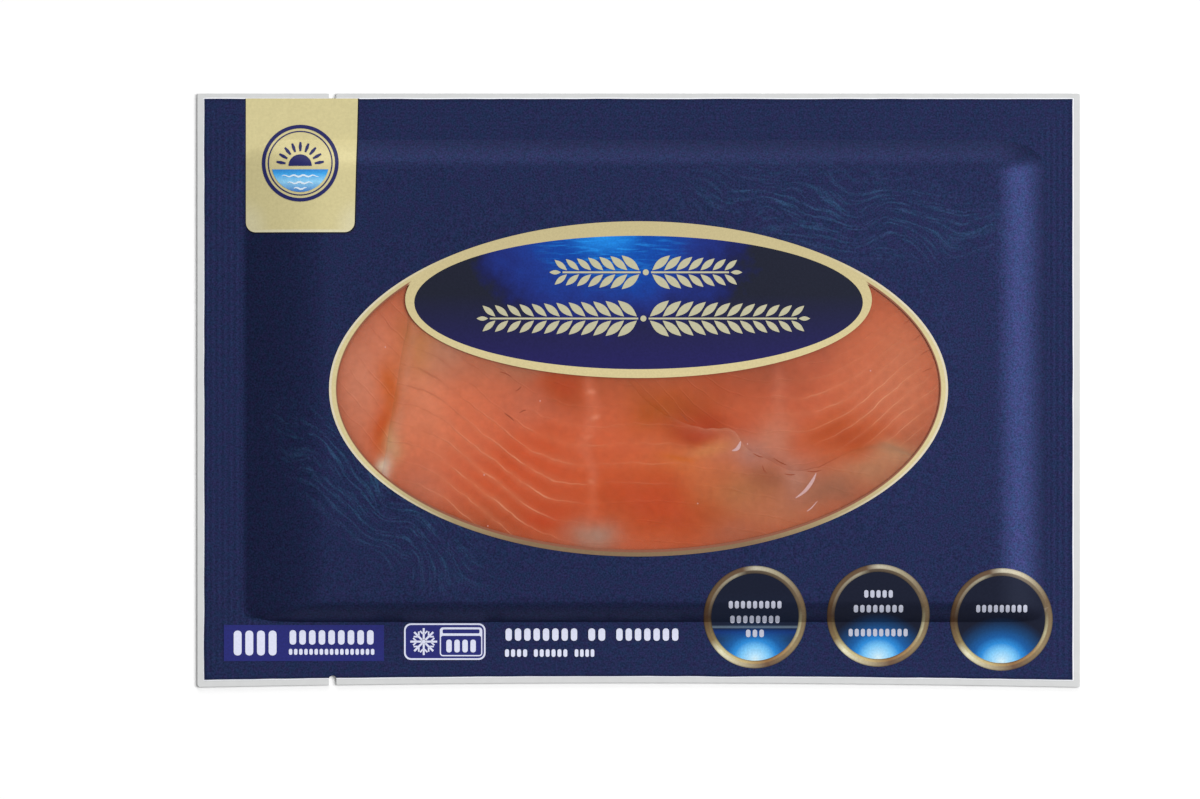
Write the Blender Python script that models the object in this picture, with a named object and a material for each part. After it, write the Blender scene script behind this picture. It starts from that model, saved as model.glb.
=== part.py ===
"""A pack of sliced smoked salmon, lying flat on its back with the printed side up.

A clear back film carries a printed front film that stands up over the fish. The front film has
an oval opening with a clear window in it, and three slices of fish lie under the window. The
print is a gold window rim, a dark title panel, a gold corner tag, three round badges and a strip.

Every size is in millimetres and becomes metres when a mesh is finished. The origin is under the
middle of the pack, +X runs to the right of the print, +Y to its top edge and +Z up.
"""

import math

import bmesh
import bpy

# Film pouch
PACK_WIDTH = 220.0
PACK_HEIGHT = 148.0
PACK_CORNER_RADIUS = 0.5
BOTTOM_EDGE_BOW = 1.1
BACK_FILM_THICKNESS = 0.25
FRONT_FILM_THICKNESS = 0.35
GAP = 0.3
PRINT_HALF_WIDTH = 108.1
PRINT_TOP = 72.6
PRINT_BOTTOM = -72.1

# Tear notches with round ends in the top and the bottom edge
NOTCH_X = -76.2
NOTCH_RADIUS = 0.95
TOP_NOTCH_DEPTH = 1.6
BOTTOM_NOTCH_DEPTH = 2.4

# Raised part of the front film: the crease round it, the width of its shoulders and its height
PLATEAU_LEFT = -97.8
PLATEAU_RIGHT = 101.5
PLATEAU_BOTTOM = -57.7
PLATEAU_TOP = 62.5
SHOULDER_LEFT = 20.0
SHOULDER_RIGHT = 13.0
SHOULDER_BOTTOM = 5.5
SHOULDER_TOP = 8.5
SHOULDER_SHARES = (0.0, 0.12, 0.28, 0.48, 0.72, 0.97)
SHOULDER_CORNER_POWER = 4.0
ROUND_CORNER_POWER = 2.2
STEEP_POWER = 2.2
SHOULDER_RISE = 4.2
CROWN_RISE = 1.2

# Oval window, its gold rim and the title oval inside the rim
WINDOW_CENTRE_Y = 0.4
RIM_OUTER = (77.0, 41.7)
RIM_INNER = (75.0, 40.0)
OPENING = (75.9, 40.9)
TITLE_OUTER_CENTRE_Y = 22.6
TITLE_OUTER = (58.05, 19.5)
TITLE_INNER_CENTRE_Y = 21.9
TITLE_INNER = (55.8, 16.6)

# Print that is laid on the front film
PRINT_THICKNESS = 0.2
TAG_LEFT = -97.8
TAG_RIGHT = -69.9
TAG_BOTTOM = 39.4
TAG_TOP = 72.3
TAG_CORNER_RADIUS = 2.4
TAG_TAPER = 0.8
BADGE_CENTRES = ((29.0, -56.4), (59.7, -56.0), (90.4, -57.0))
BADGE_RADIUS = 12.8
BADGE_DISC_RADIUS = 10.9
STRIP_LEFT = -103.3
STRIP_RIGHT = -63.4
STRIP_BOTTOM = -67.4
STRIP_TOP = -58.4

# Fish slices: the middle one lies over the edges of the other two
SLICE_LEFT_OUTLINE = (
    (-86.0, -44.0), (-90.5, -20.0), (-91.0, 14.0), (-87.0, 46.0), (-68.0, 53.0),
    (-46.0, 47.0), (-46.5, 22.0), (-50.5, -2.0), (-55.0, -24.0), (-59.5, -44.0), (-70.0, -50.0),
)
SLICE_MIDDLE_OUTLINE = (
    (-64.5, -43.5), (-64.9, -24.8), (-60.7, -2.4), (-56.4, 26.3), (-53.0, 45.0), (-40.0, 47.5),
    (-21.0, 28.0), (0.4, -1.1), (12.8, -8.6), (24.0, -10.1), (30.3, -16.1), (37.7, -19.8),
    (44.0, -19.3), (52.7, -15.3), (61.4, -13.1), (68.0, -15.5), (79.0, -26.0), (80.0, -44.0),
    (42.0, -49.5), (-6.0, -47.5), (-48.0, -49.5),
)
SLICE_RIGHT_OUTLINE = (
    (-30.0, 48.0), (-18.0, 15.0), (-2.0, -7.5), (16.0, -19.0), (36.0, -26.0), (58.0, -23.5),
    (76.0, -30.0), (89.0, -46.0), (95.5, -18.0), (95.0, 24.0), (88.0, 52.0), (52.0, 55.5), (8.0, 54.0),
)
OUTLINE_STEPS = 4
SLICE_EDGE_INSET = 1.4
SLICE_EDGE_DROP = 0.4
SLICE_CELL = 8.0
LAP_START = 6.0
LAP_SLOPE = 0.22
LEFT_LAP_X = -60.4
LEFT_LAP_LEAN = 0.166
RIGHT_LAP = (
    (-40.0, 56.0), (-18.0, 24.0), (1.0, -1.5), (20.0, -12.0), (40.0, -17.5), (62.0, -14.5),
    (80.0, -26.0), (94.0, -62.0),
)
RIPPLE_HEIGHT = 0.12

MILLIMETRE = 0.001
MERGE_DISTANCE = 0.0001
ROUND_ANGLE = math.radians(40.0)


def clear_scene():
    """Removes whatever the start-up scene holds."""
    for obj in list(bpy.data.objects):
        bpy.data.objects.remove(obj, do_unlink=True)


def make_material(name, colour, roughness, metallic=0.0):
    """A Principled material with the part's own colour; a fourth number is its opacity."""
    material = bpy.data.materials.new(name)
    material.use_nodes = True
    shader = material.node_tree.nodes["Principled BSDF"]
    shader.inputs["Base Color"].default_value = (*colour[:3], 1.0)
    shader.inputs["Alpha"].default_value = colour[3] if len(colour) > 3 else 1.0
    shader.inputs["Roughness"].default_value = roughness
    shader.inputs["Metallic"].default_value = metallic
    return material


# Heights of the pack
def shoulder_parts(x, y):
    """0 at the shoulder's top and 1 at its foot, measured at the sides and at the ends."""
    side = 1.0 - min((x - PLATEAU_LEFT) / SHOULDER_LEFT, (PLATEAU_RIGHT - x) / SHOULDER_RIGHT)
    end = 1.0 - min((y - PLATEAU_BOTTOM) / SHOULDER_BOTTOM, (PLATEAU_TOP - y) / SHOULDER_TOP)
    return max(side, 0.0), max(end, 0.0)


def plateau_share(x, y):
    """0 on the crease round the raised part, 1 at the top of its shoulder, below 0 on the seal."""
    side, end = shoulder_parts(x, y)
    power = ROUND_CORNER_POWER if x > 0.0 and y > 0.0 else SHOULDER_CORNER_POWER
    return 1.0 - (side ** power + end ** power) ** (1.0 / power)


def raised_share(x, y):
    """Height of the shoulder, which falls more steeply to its foot along the right side."""
    share = min(max(plateau_share(x, y), 0.0), 1.0)
    side, end = shoulder_parts(x, y)
    steep = side ** 2 / (side ** 2 + end ** 2) if x > 0.0 and side > 0.0 else 0.0
    gentle_height = math.sin(share * math.pi / 2.0)
    return gentle_height + steep * (1.0 - (1.0 - share) ** STEEP_POWER - gentle_height)


def crown(x, y):
    """Slight doming of the raised part, nothing at its edges."""
    across = (2.0 * x - PLATEAU_LEFT - PLATEAU_RIGHT) / (PLATEAU_RIGHT - PLATEAU_LEFT)
    along = (2.0 * y - PLATEAU_BOTTOM - PLATEAU_TOP) / (PLATEAU_TOP - PLATEAU_BOTTOM)
    return CROWN_RISE * max(1.0 - across ** 2, 0.0) * max(1.0 - along ** 2, 0.0)


def film_top(x, y):
    """Upper side of the front film and of the window."""
    seal_top = BACK_FILM_THICKNESS + GAP + FRONT_FILM_THICKNESS
    return seal_top + SHOULDER_RISE * raised_share(x, y) + crown(x, y)


def film_underside(x, y):
    return film_top(x, y) - FRONT_FILM_THICKNESS


def print_top(x, y):
    return film_top(x, y) + GAP + PRINT_THICKNESS


def print_underside(x, y):
    return film_top(x, y) + GAP


def level(height):
    """A surface that is the same height everywhere."""
    return lambda x, y: height


# Heights of the fish
def fish_floor(x, y):
    return BACK_FILM_THICKNESS + GAP


def fish_ceiling(x, y):
    """Top of the fish where nothing lies on it, with a gentle ripple just under the film."""
    ripple = math.sin(x / 5.3 + 0.4 * math.sin(y / 9.0)) * math.sin(y / 7.1 + 0.6)
    return film_underside(x, y) - GAP - RIPPLE_HEIGHT * (1.0 + ripple)


def curve_height(points, x):
    """Smooth curve through points that run from left to right, as a height over x."""
    last = len(points) - 1
    k = max(i for i in range(last) if i == 0 or points[i][0] <= x)
    (x0, y0), (x1, y1) = points[k], points[k + 1]
    before, after = points[max(k - 1, 0)], points[min(k + 2, last)]
    slope0 = (y1 - before[1]) / (x1 - before[0])
    slope1 = (after[1] - y0) / (after[0] - x0)
    t = (x - x0) / (x1 - x0)
    width = x1 - x0
    rise = (3.0 - 2.0 * t) * t * t
    return (
        y0 * (1.0 - rise)
        + y1 * rise
        + slope0 * width * t * (1.0 - t) ** 2
        - slope1 * width * (1.0 - t) * t * t
    )


def left_lap_top(x, y):
    """Top of the left slice, which slopes down under the middle one."""
    under = x - (LEFT_LAP_X + LEFT_LAP_LEAN * y)
    return fish_ceiling(x, y) - LAP_SLOPE * max(under + LAP_START, 0.0)


def right_lap_top(x, y):
    """Top of the right slice, which slopes down under the middle one."""
    reach_x = min(max(x, RIGHT_LAP[0][0]), RIGHT_LAP[-1][0])
    under = curve_height(RIGHT_LAP, reach_x) - y
    return fish_ceiling(x, y) - LAP_SLOPE * max(under + LAP_START, 0.0)


def middle_underside(x, y):
    """Underside of the middle slice, clear of the two that it covers."""
    return max(fish_floor(x, y), left_lap_top(x, y) + GAP, right_lap_top(x, y) + GAP)


# Outlines
def oval(half_axes, centre_y, steps):
    half_x, half_y = half_axes
    turns = [2.0 * math.pi * k / steps for k in range(steps)]
    return [(half_x * math.cos(turn), centre_y + half_y * math.sin(turn)) for turn in turns]


def grown(half_axes, distance):
    """The half axes of an oval that lies this far outside another, or inside if negative."""
    return half_axes[0] + distance, half_axes[1] + distance


def rounded_outline(left, bottom, right, top, radii, steps):
    """A rectangle whose corners, from the lower left counterclockwise, have these radii."""
    corners = ((left, bottom, 180.0), (right, bottom, 270.0), (right, top, 0.0), (left, top, 90.0))
    outline = []
    for (x, y, start), radius in zip(corners, radii):
        if radius == 0.0:
            outline.append((x, y))
            continue
        centre_x = x + (radius if x == left else -radius)
        centre_y = y + (radius if y == bottom else -radius)
        for k in range(steps + 1):
            turn = math.radians(start + 90.0 * k / steps)
            outline.append((centre_x + radius * math.cos(turn), centre_y + radius * math.sin(turn)))
    return outline


def bowed(x, y):
    """Bends the lower edge of the films up a little in its middle."""
    lift = BOTTOM_EDGE_BOW * max(1.0 - (2.0 * x / PACK_WIDTH) ** 2, 0.0)
    return x, y + lift * max(-2.0 * y / PACK_HEIGHT, 0.0) ** 4


def smooth_closed(points, steps):
    """Closed curve through a few points, with this many steps from each point to the next."""
    count = len(points)
    outline = []
    for k in range(count):
        p0, p1, p2, p3 = (points[(k + offset) % count] for offset in (-1, 0, 1, 2))
        for step in range(steps):
            t = step / steps
            weights = (
                0.5 * (-t + 2.0 * t ** 2 - t ** 3),
                0.5 * (2.0 - 5.0 * t ** 2 + 3.0 * t ** 3),
                0.5 * (t + 4.0 * t ** 2 - 3.0 * t ** 3),
                0.5 * (-(t ** 2) + t ** 3),
            )
            outline.append(tuple(
                sum(weight * point[axis] for weight, point in zip(weights, (p0, p1, p2, p3)))
                for axis in (0, 1)
            ))
    return outline


def window_below_title(steps):
    """The part of the window that shows: the rim's inner oval less the title oval."""
    def above_title(turn):
        x = RIM_INNER[0] * math.cos(turn)
        y = WINDOW_CENTRE_Y + RIM_INNER[1] * math.sin(turn) - TITLE_OUTER_CENTRE_Y
        return (x / TITLE_OUTER[0]) ** 2 + (y / TITLE_OUTER[1]) ** 2 - 1.0

    low, high = 0.0, math.pi / 2.0
    for _ in range(40):
        middle = (low + high) / 2.0
        low, high = (middle, high) if above_title(middle) > 0.0 else (low, middle)
    end = low
    crossing_x = RIM_INNER[0] * math.cos(end)
    crossing_y = WINDOW_CENTRE_Y + RIM_INNER[1] * math.sin(end)
    start = math.atan2((crossing_y - TITLE_OUTER_CENTRE_Y) / TITLE_OUTER[1], crossing_x / TITLE_OUTER[0])
    outline = []
    for k in range(steps):
        turn = math.pi - end + (math.pi + 2.0 * end) * k / steps
        outline.append((
            RIM_INNER[0] * math.cos(turn),
            WINDOW_CENTRE_Y + RIM_INNER[1] * math.sin(turn),
        ))
    half_steps = steps // 2
    for k in range(half_steps):
        turn = start - (math.pi + 2.0 * start) * k / half_steps
        outline.append((
            TITLE_OUTER[0] * math.cos(turn),
            TITLE_OUTER_CENTRE_Y + TITLE_OUTER[1] * math.sin(turn),
        ))
    return outline


# Rays from the middle of the pack, which the loops of the front film and window share
def ray_directions(side_steps, end_steps):
    """Unit directions to points round the print's border, closer together near its corners."""
    corners = (
        (-PRINT_HALF_WIDTH, PRINT_BOTTOM),
        (PRINT_HALF_WIDTH, PRINT_BOTTOM),
        (PRINT_HALF_WIDTH, PRINT_TOP),
        (-PRINT_HALF_WIDTH, PRINT_TOP),
    )
    directions = []
    for k in range(4):
        (x0, y0), (x1, y1) = corners[k], corners[(k + 1) % 4]
        steps = side_steps if k % 2 == 0 else end_steps
        for step in range(steps):
            share = 0.5 * step / steps + 0.25 * (1.0 - math.cos(math.pi * step / steps))
            x = x0 + (x1 - x0) * share
            y = y0 + (y1 - y0) * share
            directions.append((x / math.hypot(x, y), y / math.hypot(x, y)))
    return directions


def loop_where(inside, directions):
    """Where each ray leaves the region in which inside(x, y) is true."""
    loop = []
    for dx, dy in directions:
        low, high = 0.0, PACK_WIDTH
        for _ in range(40):
            middle = (low + high) / 2.0
            low, high = (middle, high) if inside(middle * dx, middle * dy) else (low, middle)
        loop.append((low * dx, low * dy))
    return loop


def oval_loop(half_axes, directions):
    def inside(x, y):
        return (x / half_axes[0]) ** 2 + ((y - WINDOW_CENTRE_Y) / half_axes[1]) ** 2 < 1.0

    return loop_where(inside, directions)


def between(loop_a, loop_b, share):
    """The loop that lies this share of the way from one loop to another."""
    return [
        (xa + (xb - xa) * share, ya + (yb - ya) * share)
        for (xa, ya), (xb, yb) in zip(loop_a, loop_b)
    ]


# Flat sheets and the solids made from them
def ring_sheet(loops):
    """A flat sheet that joins closed loops of equally many points, each to the next."""
    around = len(loops[0])
    across = len(loops) - 1
    sheet = bmesh.new()
    bmesh.ops.create_grid(sheet, x_segments=around, y_segments=across, size=0.5)
    for corner in sheet.verts:
        k = round((corner.co.x + 0.5) * around) % around
        x, y = loops[round((corner.co.y + 0.5) * across)][k]
        corner.co = (x, y, 0.0)
    bmesh.ops.remove_doubles(sheet, verts=sheet.verts[:], dist=MERGE_DISTANCE)
    bmesh.ops.dissolve_degenerate(sheet, edges=sheet.edges[:], dist=MERGE_DISTANCE)
    return sheet


def filled_sheet(outlines):
    """A flat sheet inside the first outline, with the other outlines as holes."""
    sheet = bmesh.new()
    for outline in outlines:
        corners = [sheet.verts.new((x, y, 0.0)) for x, y in outline]
        for first, second in zip(corners, corners[1:] + corners[:1]):
            sheet.edges.new((first, second))
    bmesh.ops.triangle_fill(sheet, use_beauty=True, edges=sheet.edges[:], normal=(0.0, 0.0, 1.0))
    return sheet


def cut_along(sheet, x_lines, y_lines):
    """Splits the sheet's faces along lines of constant x and of constant y."""
    cuts = [((x, 0.0, 0.0), (1.0, 0.0, 0.0)) for x in x_lines]
    cuts += [((0.0, y, 0.0), (0.0, 1.0, 0.0)) for y in y_lines]
    for place, normal in cuts:
        geometry = sheet.verts[:] + sheet.edges[:] + sheet.faces[:]
        bmesh.ops.bisect_plane(sheet, geom=geometry, dist=0.02, plane_co=place, plane_no=normal)


def shoulder_lines():
    """Lines on which print laid over the front film has to bend."""
    x_lines = [PLATEAU_LEFT + share * SHOULDER_LEFT for share in SHOULDER_SHARES]
    x_lines += [PLATEAU_RIGHT - share * SHOULDER_RIGHT for share in SHOULDER_SHARES]
    x_lines += [-50.0, -25.0, 0.0, 25.0, 50.0]
    y_lines = [PLATEAU_BOTTOM + share * SHOULDER_BOTTOM for share in SHOULDER_SHARES]
    y_lines += [PLATEAU_TOP - share * SHOULDER_TOP for share in SHOULDER_SHARES]
    y_lines += [-30.0, -15.0, 15.0, 30.0, 46.0]
    return x_lines, y_lines


def solid_between(sheet, top, bottom, edge_drop=0.0):
    """Turns the flat sheet into a closed solid between two surfaces, given as heights over (x, y)."""
    bmesh.ops.triangulate(sheet, faces=sheet.faces[:])
    rim = {corner for corner in sheet.verts if corner.is_boundary}
    made = bmesh.ops.extrude_face_region(sheet, geom=sheet.faces[:])
    lower = {item for item in made["geom"] if isinstance(item, bmesh.types.BMVert)}
    for corner in sheet.verts:
        x, y = corner.co.x, corner.co.y
        if corner in lower:
            corner.co.z = bottom(x, y)
        else:
            corner.co.z = top(x, y) - (edge_drop if corner in rim else 0.0)
    bmesh.ops.recalc_face_normals(sheet, faces=sheet.faces[:])
    return sheet


def add_object(name, solid, material, centre=(0.0, 0.0)):
    """Makes an object of the solid, with its origin on the table under the given centre."""
    bmesh.ops.translate(solid, verts=solid.verts[:], vec=(-centre[0], -centre[1], 0.0))
    bmesh.ops.scale(solid, verts=solid.verts[:], vec=(MILLIMETRE, MILLIMETRE, MILLIMETRE))
    mesh = bpy.data.meshes.new(name)
    solid.to_mesh(mesh)
    solid.free()
    mesh.shade_smooth()
    mesh.set_sharp_from_angle(angle=ROUND_ANGLE)
    mesh.materials.append(material)
    obj = bpy.data.objects.new(name, mesh)
    obj.location = (centre[0] * MILLIMETRE, centre[1] * MILLIMETRE, 0.0)
    bpy.context.scene.collection.objects.link(obj)
    return obj


def add_notch_cutter(name, edge_y, depth, outward):
    """An upright rod with its round side in the pouch and its other side past the pouch's edge."""
    cutter = bmesh.new()
    bmesh.ops.create_cone(
        cutter, cap_ends=True, segments=20, radius1=NOTCH_RADIUS, radius2=NOTCH_RADIUS, depth=6.0,
    )
    outer = [corner for corner in cutter.verts if corner.co.y * outward > MERGE_DISTANCE]
    bmesh.ops.translate(cutter, verts=outer, vec=(0.0, 3.0 * outward, 0.0))
    obj = add_object(name, cutter, make_material(name, (0.5, 0.5, 0.5), 0.5))
    centre_y = edge_y - outward * (depth - NOTCH_RADIUS)
    obj.location = (NOTCH_X * MILLIMETRE, centre_y * MILLIMETRE, 0.0)
    obj.hide_render = True
    obj.display_type = "WIRE"
    return obj


def cut(obj, cutter):
    modifier = obj.modifiers.new(cutter.name, "BOOLEAN")
    modifier.operation = "DIFFERENCE"
    modifier.solver = "EXACT"
    modifier.object = cutter


# Pieces of the pack
def add_films():
    """The clear back film, the printed front film and the clear window in its opening."""
    clear = make_material("clear_film", (0.75, 0.77, 0.78, 0.35), 0.18)
    navy = make_material("navy_printed_film", (0.016, 0.023, 0.068), 0.42)
    window = make_material("window_film", (0.9, 0.9, 0.9, 0.18), 0.12)

    edges = (-PACK_WIDTH / 2.0, -PACK_HEIGHT / 2.0, PACK_WIDTH / 2.0, PACK_HEIGHT / 2.0)
    back_sheet = filled_sheet([rounded_outline(*edges, (PACK_CORNER_RADIUS,) * 4, 4)])
    cut_along(back_sheet, [x * PACK_WIDTH / 16.0 for x in range(-7, 8)], [0.0])
    for corner in back_sheet.verts:
        corner.co.x, corner.co.y = bowed(corner.co.x, corner.co.y)
    back_solid = solid_between(back_sheet, level(BACK_FILM_THICKNESS), level(0.0))
    back = add_object("back_film", back_solid, clear)

    directions = ray_directions(28, 20)

    def inside_print(x, y):
        return abs(x) < PRINT_HALF_WIDTH and PRINT_BOTTOM < y < PRINT_TOP

    border = loop_where(inside_print, directions)
    shoulder = [
        loop_where(lambda x, y, share=share: plateau_share(x, y) > share, directions)
        for share in SHOULDER_SHARES
    ]
    opening = oval_loop(OPENING, directions)
    loops = [[bowed(x, y) for x, y in border], *shoulder]
    loops += [between(shoulder[-1], opening, 0.5), opening]
    front_solid = solid_between(ring_sheet(loops), film_top, film_underside)
    front = add_object("front_film", front_solid, navy)

    pane = oval_loop(grown(OPENING, -GAP), directions)
    middle = [(0.0, WINDOW_CENTRE_Y)] * len(directions)
    loops = [between(pane, middle, share) for share in (0.0, 0.25, 0.52, 0.78, 1.0)]
    add_object("window_film", solid_between(ring_sheet(loops), film_top, film_underside), window)

    top_edge, bottom_edge = PACK_HEIGHT / 2.0, bowed(NOTCH_X, -PACK_HEIGHT / 2.0)[1]
    top_cutter = add_notch_cutter("top_notch_cutter", top_edge, TOP_NOTCH_DEPTH, 1.0)
    bottom_cutter = add_notch_cutter("bottom_notch_cutter", bottom_edge, BOTTOM_NOTCH_DEPTH, -1.0)
    for film in (back, front):
        cut(film, top_cutter)
        cut(film, bottom_cutter)


def add_print_piece(name, outlines, material, centre=(0.0, 0.0)):
    """A thin printed field that follows the front film."""
    sheet = filled_sheet(outlines)
    cut_along(sheet, *shoulder_lines())
    add_object(name, solid_between(sheet, print_top, print_underside), material, centre)


def add_window_print():
    """The gold rim round window and title, and the dark title panel inside it."""
    gold = make_material("gold_print", (0.54, 0.47, 0.25), 0.38, 0.35)
    dark = make_material("title_print", (0.021, 0.022, 0.075), 0.4)
    rim_outlines = [
        oval(RIM_OUTER, WINDOW_CENTRE_Y, 72),
        window_below_title(64),
        oval(TITLE_INNER, TITLE_INNER_CENTRE_Y, 48),
    ]
    add_print_piece("window_rim", rim_outlines, gold)
    panel = oval(grown(TITLE_INNER, -GAP), TITLE_INNER_CENTRE_Y, 48)
    add_print_piece("title_panel", [panel], dark)


def add_corner_print():
    """The gold tag at the top left and the blue strip at the bottom left."""
    gold = make_material("tag_print", (0.57, 0.51, 0.27), 0.4, 0.3)
    blue = make_material("strip_print", (0.031, 0.035, 0.19), 0.42)
    radii = (TAG_CORNER_RADIUS, TAG_CORNER_RADIUS, 0.0, 0.0)
    tag = [
        (x - TAG_TAPER * (TAG_TOP - y) / (TAG_TOP - TAG_BOTTOM) if x > TAG_RIGHT - 5.0 else x, y)
        for x, y in rounded_outline(TAG_LEFT, TAG_BOTTOM, TAG_RIGHT, TAG_TOP, radii, 5)
    ]
    tag_centre = ((TAG_LEFT + TAG_RIGHT) / 2.0, (TAG_BOTTOM + TAG_TOP) / 2.0)
    add_print_piece("corner_tag", [tag], gold, tag_centre)
    strip = rounded_outline(STRIP_LEFT, STRIP_BOTTOM, STRIP_RIGHT, STRIP_TOP, (0.0,) * 4, 1)
    strip_centre = ((STRIP_LEFT + STRIP_RIGHT) / 2.0, (STRIP_BOTTOM + STRIP_TOP) / 2.0)
    add_print_piece("blue_strip", [strip], blue, strip_centre)


def add_badges():
    """Three round badges along the bottom, each a disc inside a bronze ring."""
    bronze = make_material("badge_ring_print", (0.3, 0.22, 0.14), 0.4, 0.35)
    disc_blue = make_material("badge_disc_print", (0.05, 0.11, 0.22), 0.4)
    for number, (x, y) in enumerate(BADGE_CENTRES, start=1):
        def circle(radius, steps):
            return [(x + px, y + py) for px, py in oval((radius, radius), 0.0, steps)]

        ring_outlines = [circle(BADGE_RADIUS, 32), circle(BADGE_DISC_RADIUS, 32)]
        add_print_piece(f"badge_ring_{number}", ring_outlines, bronze, (x, y))
        disc = circle(BADGE_DISC_RADIUS - GAP, 32)
        add_print_piece(f"badge_disc_{number}", [disc], disc_blue, (x, y))


def add_slices():
    """Three slices of fish under the window, thin at their edges where they lap."""
    flesh = make_material("smoked_fish", (0.56, 0.12, 0.055), 0.42)
    slices = (
        ("salmon_slice_left", SLICE_LEFT_OUTLINE, left_lap_top, fish_floor),
        ("salmon_slice_middle", SLICE_MIDDLE_OUTLINE, fish_ceiling, middle_underside),
        ("salmon_slice_right", SLICE_RIGHT_OUTLINE, right_lap_top, fish_floor),
    )
    x_lines = [SLICE_CELL * k for k in range(-12, 13)]
    y_lines = [SLICE_CELL * k for k in range(-7, 8)]
    for name, points, top, bottom in slices:
        sheet = filled_sheet([smooth_closed(points, OUTLINE_STEPS)])
        bmesh.ops.inset_region(
            sheet, faces=sheet.faces[:], thickness=SLICE_EDGE_INSET,
            use_boundary=True, use_even_offset=True,
        )
        cut_along(sheet, x_lines, y_lines)
        add_object(name, solid_between(sheet, top, bottom, SLICE_EDGE_DROP), flesh)


def main():
    clear_scene()
    add_films()
    add_window_print()
    add_corner_print()
    add_badges()
    add_slices()


main()
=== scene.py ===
"""Looks of a pack of sliced smoked salmon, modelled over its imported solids.

A printed film pouch lies flat with its printed side up. Sizes in the code are millimetres; a
finished piece is in metres. +X runs to the right of the print, +Y to its top edge and +Z up.
"""

import math

import bmesh
import bpy
from bpy.props import FloatProperty, FloatVectorProperty, PointerProperty
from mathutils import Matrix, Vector, noise


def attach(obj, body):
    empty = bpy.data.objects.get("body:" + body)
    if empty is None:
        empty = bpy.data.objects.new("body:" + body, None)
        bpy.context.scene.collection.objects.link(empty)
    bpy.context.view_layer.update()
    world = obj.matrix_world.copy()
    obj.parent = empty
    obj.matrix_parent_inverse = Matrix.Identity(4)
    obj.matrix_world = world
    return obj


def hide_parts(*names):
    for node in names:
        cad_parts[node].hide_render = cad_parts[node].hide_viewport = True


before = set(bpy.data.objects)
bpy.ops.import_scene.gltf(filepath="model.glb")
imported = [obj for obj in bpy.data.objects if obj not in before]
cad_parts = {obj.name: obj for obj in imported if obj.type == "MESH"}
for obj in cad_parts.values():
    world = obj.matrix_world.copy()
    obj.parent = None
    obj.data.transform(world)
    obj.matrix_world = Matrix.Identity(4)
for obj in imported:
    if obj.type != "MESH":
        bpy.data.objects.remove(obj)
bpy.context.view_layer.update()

bl_info = {
    "name": "Smoked Salmon Pack",
    "version": (1, 0, 0),
    "blender": (4, 5, 0),
    "location": "3D View > Sidebar > Fish Pack",
    "description": "Models a printed film pouch of sliced smoked salmon over its packed solids",
    "category": "Object",
}

MILLIMETRE = 0.001
MERGE_DISTANCE = 0.0001

# Pouch
PACK_WIDTH = 220.0
PACK_HEIGHT = 148.0
PACK_CORNER_RADIUS = 0.5
BOTTOM_EDGE_BOW = 1.1
BACK_FILM_TOP = 0.25
SEAL_TOP = 0.9
FRONT_FILM_THICKNESS = 0.35
FISH_FLOOR = 0.55
PRINT_HALF_WIDTH = 108.1
PRINT_TOP = 72.6
PRINT_BOTTOM = -72.1
NOTCH_X = -76.2
NOTCH_RADIUS = 0.95
TOP_NOTCH_DEPTH = 1.6
BOTTOM_NOTCH_DEPTH = 2.4
BORDER_WANDER = 0.22
CLEAR_RIM_TOP = 0.74
CLEAR_RIM_FALL = 0.05
CLEAR_RIM_FALL_WIDTH = 1.6
CLEAR_RIM_INSET = 0.12
# Painted highlight along the print's border: a white strip this wide, raised this much over the clear rim
WHITE_EDGE_WIDTH = 0.26
WHITE_EDGE_RISE = 0.03
RIM_OVERLAP = 0.45
BACK_PRINT_INSET = 0.5
BACK_PRINT_TOP = 0.4
FILM_GAP = 0.03

# Raised part of the front film
PLATEAU_LEFT = -97.8
PLATEAU_RIGHT = 101.5
PLATEAU_BOTTOM = -57.7
PLATEAU_TOP = 62.5
SHOULDER_LEFT = 20.0
SHOULDER_RIGHT = 13.0
SHOULDER_BOTTOM = 5.5
SHOULDER_TOP = 8.5
SHOULDER_CORNER_POWER = 4.0
ROUND_CORNER_POWER = 2.2
STEEP_POWER = 2.2
SHOULDER_RISE = 4.2
CROWN_RISE = 1.2
FILM_WAVE = 0.05

# Oval window and title
WINDOW_CENTRE_Y = 0.4
RIM_OUTER = (77.0, 41.7)
RIM_INNER = (75.0, 40.0)
# Inner oval of the rim's gold: from it in to RIM_INNER the rim is painted brown as its shadow on the fish
RIM_SHADE = (75.25, 40.64)
OPENING = (75.9, 40.9)
WINDOW_INSET = 0.3
WINDOW_THICKNESS = 0.12
TITLE_OUTER_CENTRE_Y = 22.6
TITLE_OUTER = (58.05, 19.5)
TITLE_INNER_CENTRE_Y = 21.9
TITLE_INNER = (55.8, 16.6)

# Print on the front film: how far each layer of ink lies above the film
PRINT_LIFT = 0.05
FIELD_LIFT = 0.03
# The tag's painted shadow lies lower than the tag, partly sunk in the film
TAG_SHADOW_LIFT = -0.04
BRANCH_LIFT = 0.12
BEAD_LIFT = 0.13
MARK_LIFT = 0.15
RIPPLE_LIFT = 0.23
PRINT_THICKNESS = 0.07
LAMINATE_RELIEF = 0.03

# Marks: a box is its left, bottom, right and top, and a badge's row its height and half length
TAG = (-97.8, 39.4, -69.9, 72.75)
TAG_CORNER_RADIUS = 2.4
TAG_TAPER = 0.8
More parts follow.
